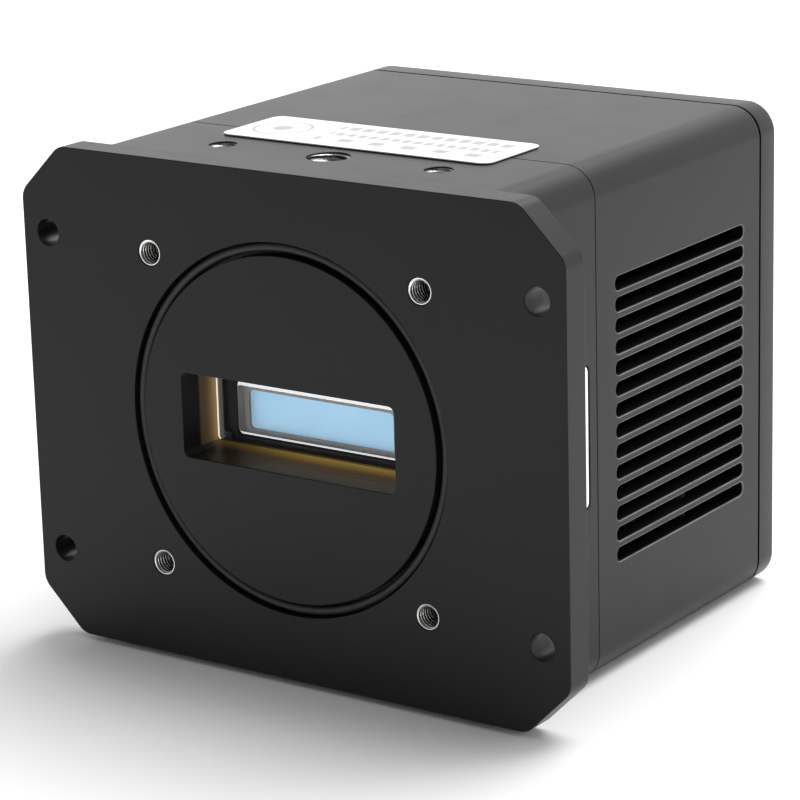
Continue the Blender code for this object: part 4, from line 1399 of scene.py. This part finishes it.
def triggerJack():
    jack = {"bore": 1.8, "deep": 11.0, "ringOuter": 2.9, "ringThick": 0.35}
    low, high = span("trigger_jack")
    centre = (low + high) / 2
    spot = (centre.x, centre.z)
    piece = stock("triggerJack", block(low, high - Vector((0, jack["ringThick"], 0))))
    drill(piece, jack["bore"] + 0.05, [spot], high.y - jack["deep"], high.y + 1, 48)
    soften(piece, 0.15, 2)
    finish(piece, finishes["plastic"], ["trigger_jack"])
    collar = tube(jack["bore"], jack["ringOuter"], high.y - jack["ringThick"] + 0.01, high.y, 64)
    ring = stock("triggerRing", moved(collar, spot[0], 0, spot[1]))
    soften(ring, 0.1, 2)
    finish(ring, finishes["steel"])


dataSocket()
dataTongue()
powerJack()
triggerJack()
print("sockets made")

# Screws


def capScrew(length, head, radius=2.75):
    # head top at depth 0, shank running forward
    screw = {"shank": 1.5, "tip": 0.4, "socket": 1.45, "socketDeep": 1.0, "round": 0.3, "dish": 1.75}
    ease, shank, tip = screw["round"], screw["shank"], screw["tip"]
    profile = [
        (0, 0), (radius - ease, 0), (radius - ease * 0.3, -ease * 0.3), (radius, -ease),
        (radius, -head), (shank, -head), (shank, tip - length), (shank - tip, -length), (0, -length),
    ]
    piece = stock("screw", turned(profile, 48))
    dish = screw["dish"]
    work(piece, turned([(0, 1), (dish, 1), (dish, 0), (dish - 0.3, -0.3), (0, -0.3)]))
    work(piece, prism(circle(screw["socket"], steps=6), -screw["socketDeep"], 1))
    shape = bmesh.new()
    shape.from_mesh(piece.data)
    bpy.data.objects.remove(piece)
    return shape


def screwSet(name, stem, head, paint):
    # four screws on a rectangle, where the frame has them
    nodes = [f"{stem}_{index}" for index in range(1, 5)]
    corner = span(nodes[3])
    centre = [middle(node) for node in nodes]
    length = corner[1].y - corner[0].y
    screw = moved(capScrew(length, head), centre[3].x, corner[1].y, centre[3].z)
    stepX = centre[2].x - centre[3].x
    stepZ = centre[0].z - centre[3].z
    shape = repeat(rowTree, screw, columns=2, rows=2, stepX=stepX, stepZ=stepZ)
    piece = stock(name, shape)
    smooth(piece, 35)
    finish(piece, paint, nodes)


screwSet("tieScrews", "tie_screw", 2.4, finishes["screw"])
screwSet("fanScrews", "fan_screw", 1.1, finishes["screw"])
screwSet("sinkScrews", "sink_screw", 2.4, finishes["steel"])
print("screws made")

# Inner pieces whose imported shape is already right

innerPaints = {
    "board": ["sensor_board", "main_board"],
    "copper": ["cold_finger", "fan_stator"],
    "foam": ["foam_insulator"],
    "ceramic": ["tec_cold_plate", "tec_hot_plate"],
    "pellet": ["tec_pellets"],
    "ring": ["chamber_gasket"],
    "ferrite": ["fan_magnet", "power_inductor"],
    "steel": ["fan_shaft"],
    "bronze": ["fan_bearing"],
    "chip": ["processor_chip", "memory_chip"],
    "aluminium": ["capacitor_1", "capacitor_2"],
    "brass": [f"board_spacer_{index}" for index in range(1, 5)],
    "ivory": ["sensor_connector", "board_connector"],
}
paints = {node: finishes[name] for name, nodes in innerPaints.items() for node in nodes}
paints["heat_sink"] = black
# the flex cable takes the lining paint, with its painted shade and glow
paints["flex_cable"] = amber
for node, paint in paints.items():
    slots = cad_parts[node].data.materials
    slots.clear()
    slots.append(paint.material)
print("inner pieces painted")

# Camera, floor and light

view = {
    "place": (228.8, -303.2, 113.2),
    "azimuth": 34.95,
    "elevation": 16.09,
    "roll": -1.556,
    "lens": 147.65,
}
azimuth, elevation, roll = (math.radians(view[key]) for key in ("azimuth", "elevation", "roll"))
forward = Vector((
    -math.sin(azimuth) * math.cos(elevation),
    math.cos(azimuth) * math.cos(elevation),
    -math.sin(elevation),
))
level = Vector((math.cos(azimuth), math.sin(azimuth), 0))
upward = level.cross(forward)
right = level * math.cos(roll) + upward * math.sin(roll)
camera = bpy.data.objects.new("camera", bpy.data.cameras.new("camera"))
camera.data.lens = view["lens"]
camera.data.sensor_width = 36
camera.data.clip_start = 0.01
camera.matrix_world = (
    Matrix.Translation(origin + Vector(view["place"]) * mm)
    @ Matrix((right, right.cross(forward), -forward)).transposed().to_4x4()
)
bpy.context.collection.objects.link(camera)
bpy.context.scene.camera = camera


def studioFloor():
    sheet = {"half": 6000.0, "drop": 0.05, "grey": (0.93, 0.93, 0.93), "roughness": 0.75}
    half = sheet["half"]
    low = cadBox[0].z / mm - origin.z / mm - sheet["drop"]
    shape = bmesh.new()
    shape.faces.new([shape.verts.new((x, y, low)) for x, y in rectangle(-half, half, -half, half)])
    floor = stock("floor", shape)
    floor.data.transform(Matrix.Translation(origin) @ Matrix.Scale(mm, 4))
    paint = Paint("paleFloor", sheet["grey"], sheet["roughness"], 0.0, Specular_IOR_Level=0.2)
    paint.give("Roughness", sheet["roughness"] + 0.1 * paint.noise(40, 2))
    floor.data.materials.append(paint.material)


# square lights: places from the middle of the camera body and sizes in metres, power in watts
lights = {
    "topLight": {"place": (0.1, 0.4, 0.9), "size": 0.8, "power": 12},
    "sideLight": {"place": (1.0, 0.1, 0.45), "size": 0.6, "power": 0.5},
}


def softBox(name, light):
    target = origin + Vector((0, 32, 0)) * mm
    lamp = bpy.data.lights.new(name, "AREA")
    lamp.size = light["size"]
    lamp.energy = light["power"]
    box = bpy.data.objects.new(name, lamp)
    place = Vector(light["place"])
    box.location = target + place
    box.rotation_euler = (-place).to_track_quat("-Z", "Y").to_euler()
    bpy.context.collection.objects.link(box)


def roomLight():
    # a pale room, brightest behind the camera body and dim overhead in front of it
    room = {
        "front": 0.5,
        "back": 1.4,
        "backdrop": 1.0,
        "turn": (-0.6, 0.5),
        "roof": 0.5,
        "roofStart": (0.3, 0.7),
    }
    world = bpy.data.worlds.new("room")
    bpy.context.scene.world = world
    world.use_nodes = True
    net = Net(world.node_tree)
    spot = net.add("ShaderNodeTexCoord").outputs["Generated"]
    split = net.add("ShaderNodeSeparateXYZ", None, {0: spot})
    depth = Value(net, split.outputs["Y"])
    level = room["front"] + (room["back"] - room["front"]) * depth.fade(*room["turn"])
    upwards = Value(net, split.outputs["Z"]).fade(*room["roofStart"])
    level = level * (1 - room["roof"] * upwards)
    seen = Value(net, net.add("ShaderNodeLightPath").outputs["Is Camera Ray"])
    strength = level * (1 - seen) + seen * room["backdrop"]
    background = world.node_tree.nodes["Background"]
    background.inputs["Color"].default_value = (1, 1, 1, 1)
    world.node_tree.links.new(strength.socket, background.inputs["Strength"])


studioFloor()
for name, light in lights.items():
    softBox(name, light)
roomLight()
bpy.context.scene.view_settings.view_transform = "Standard"
bpy.context.scene.view_settings.look = "None"
print("studio set")
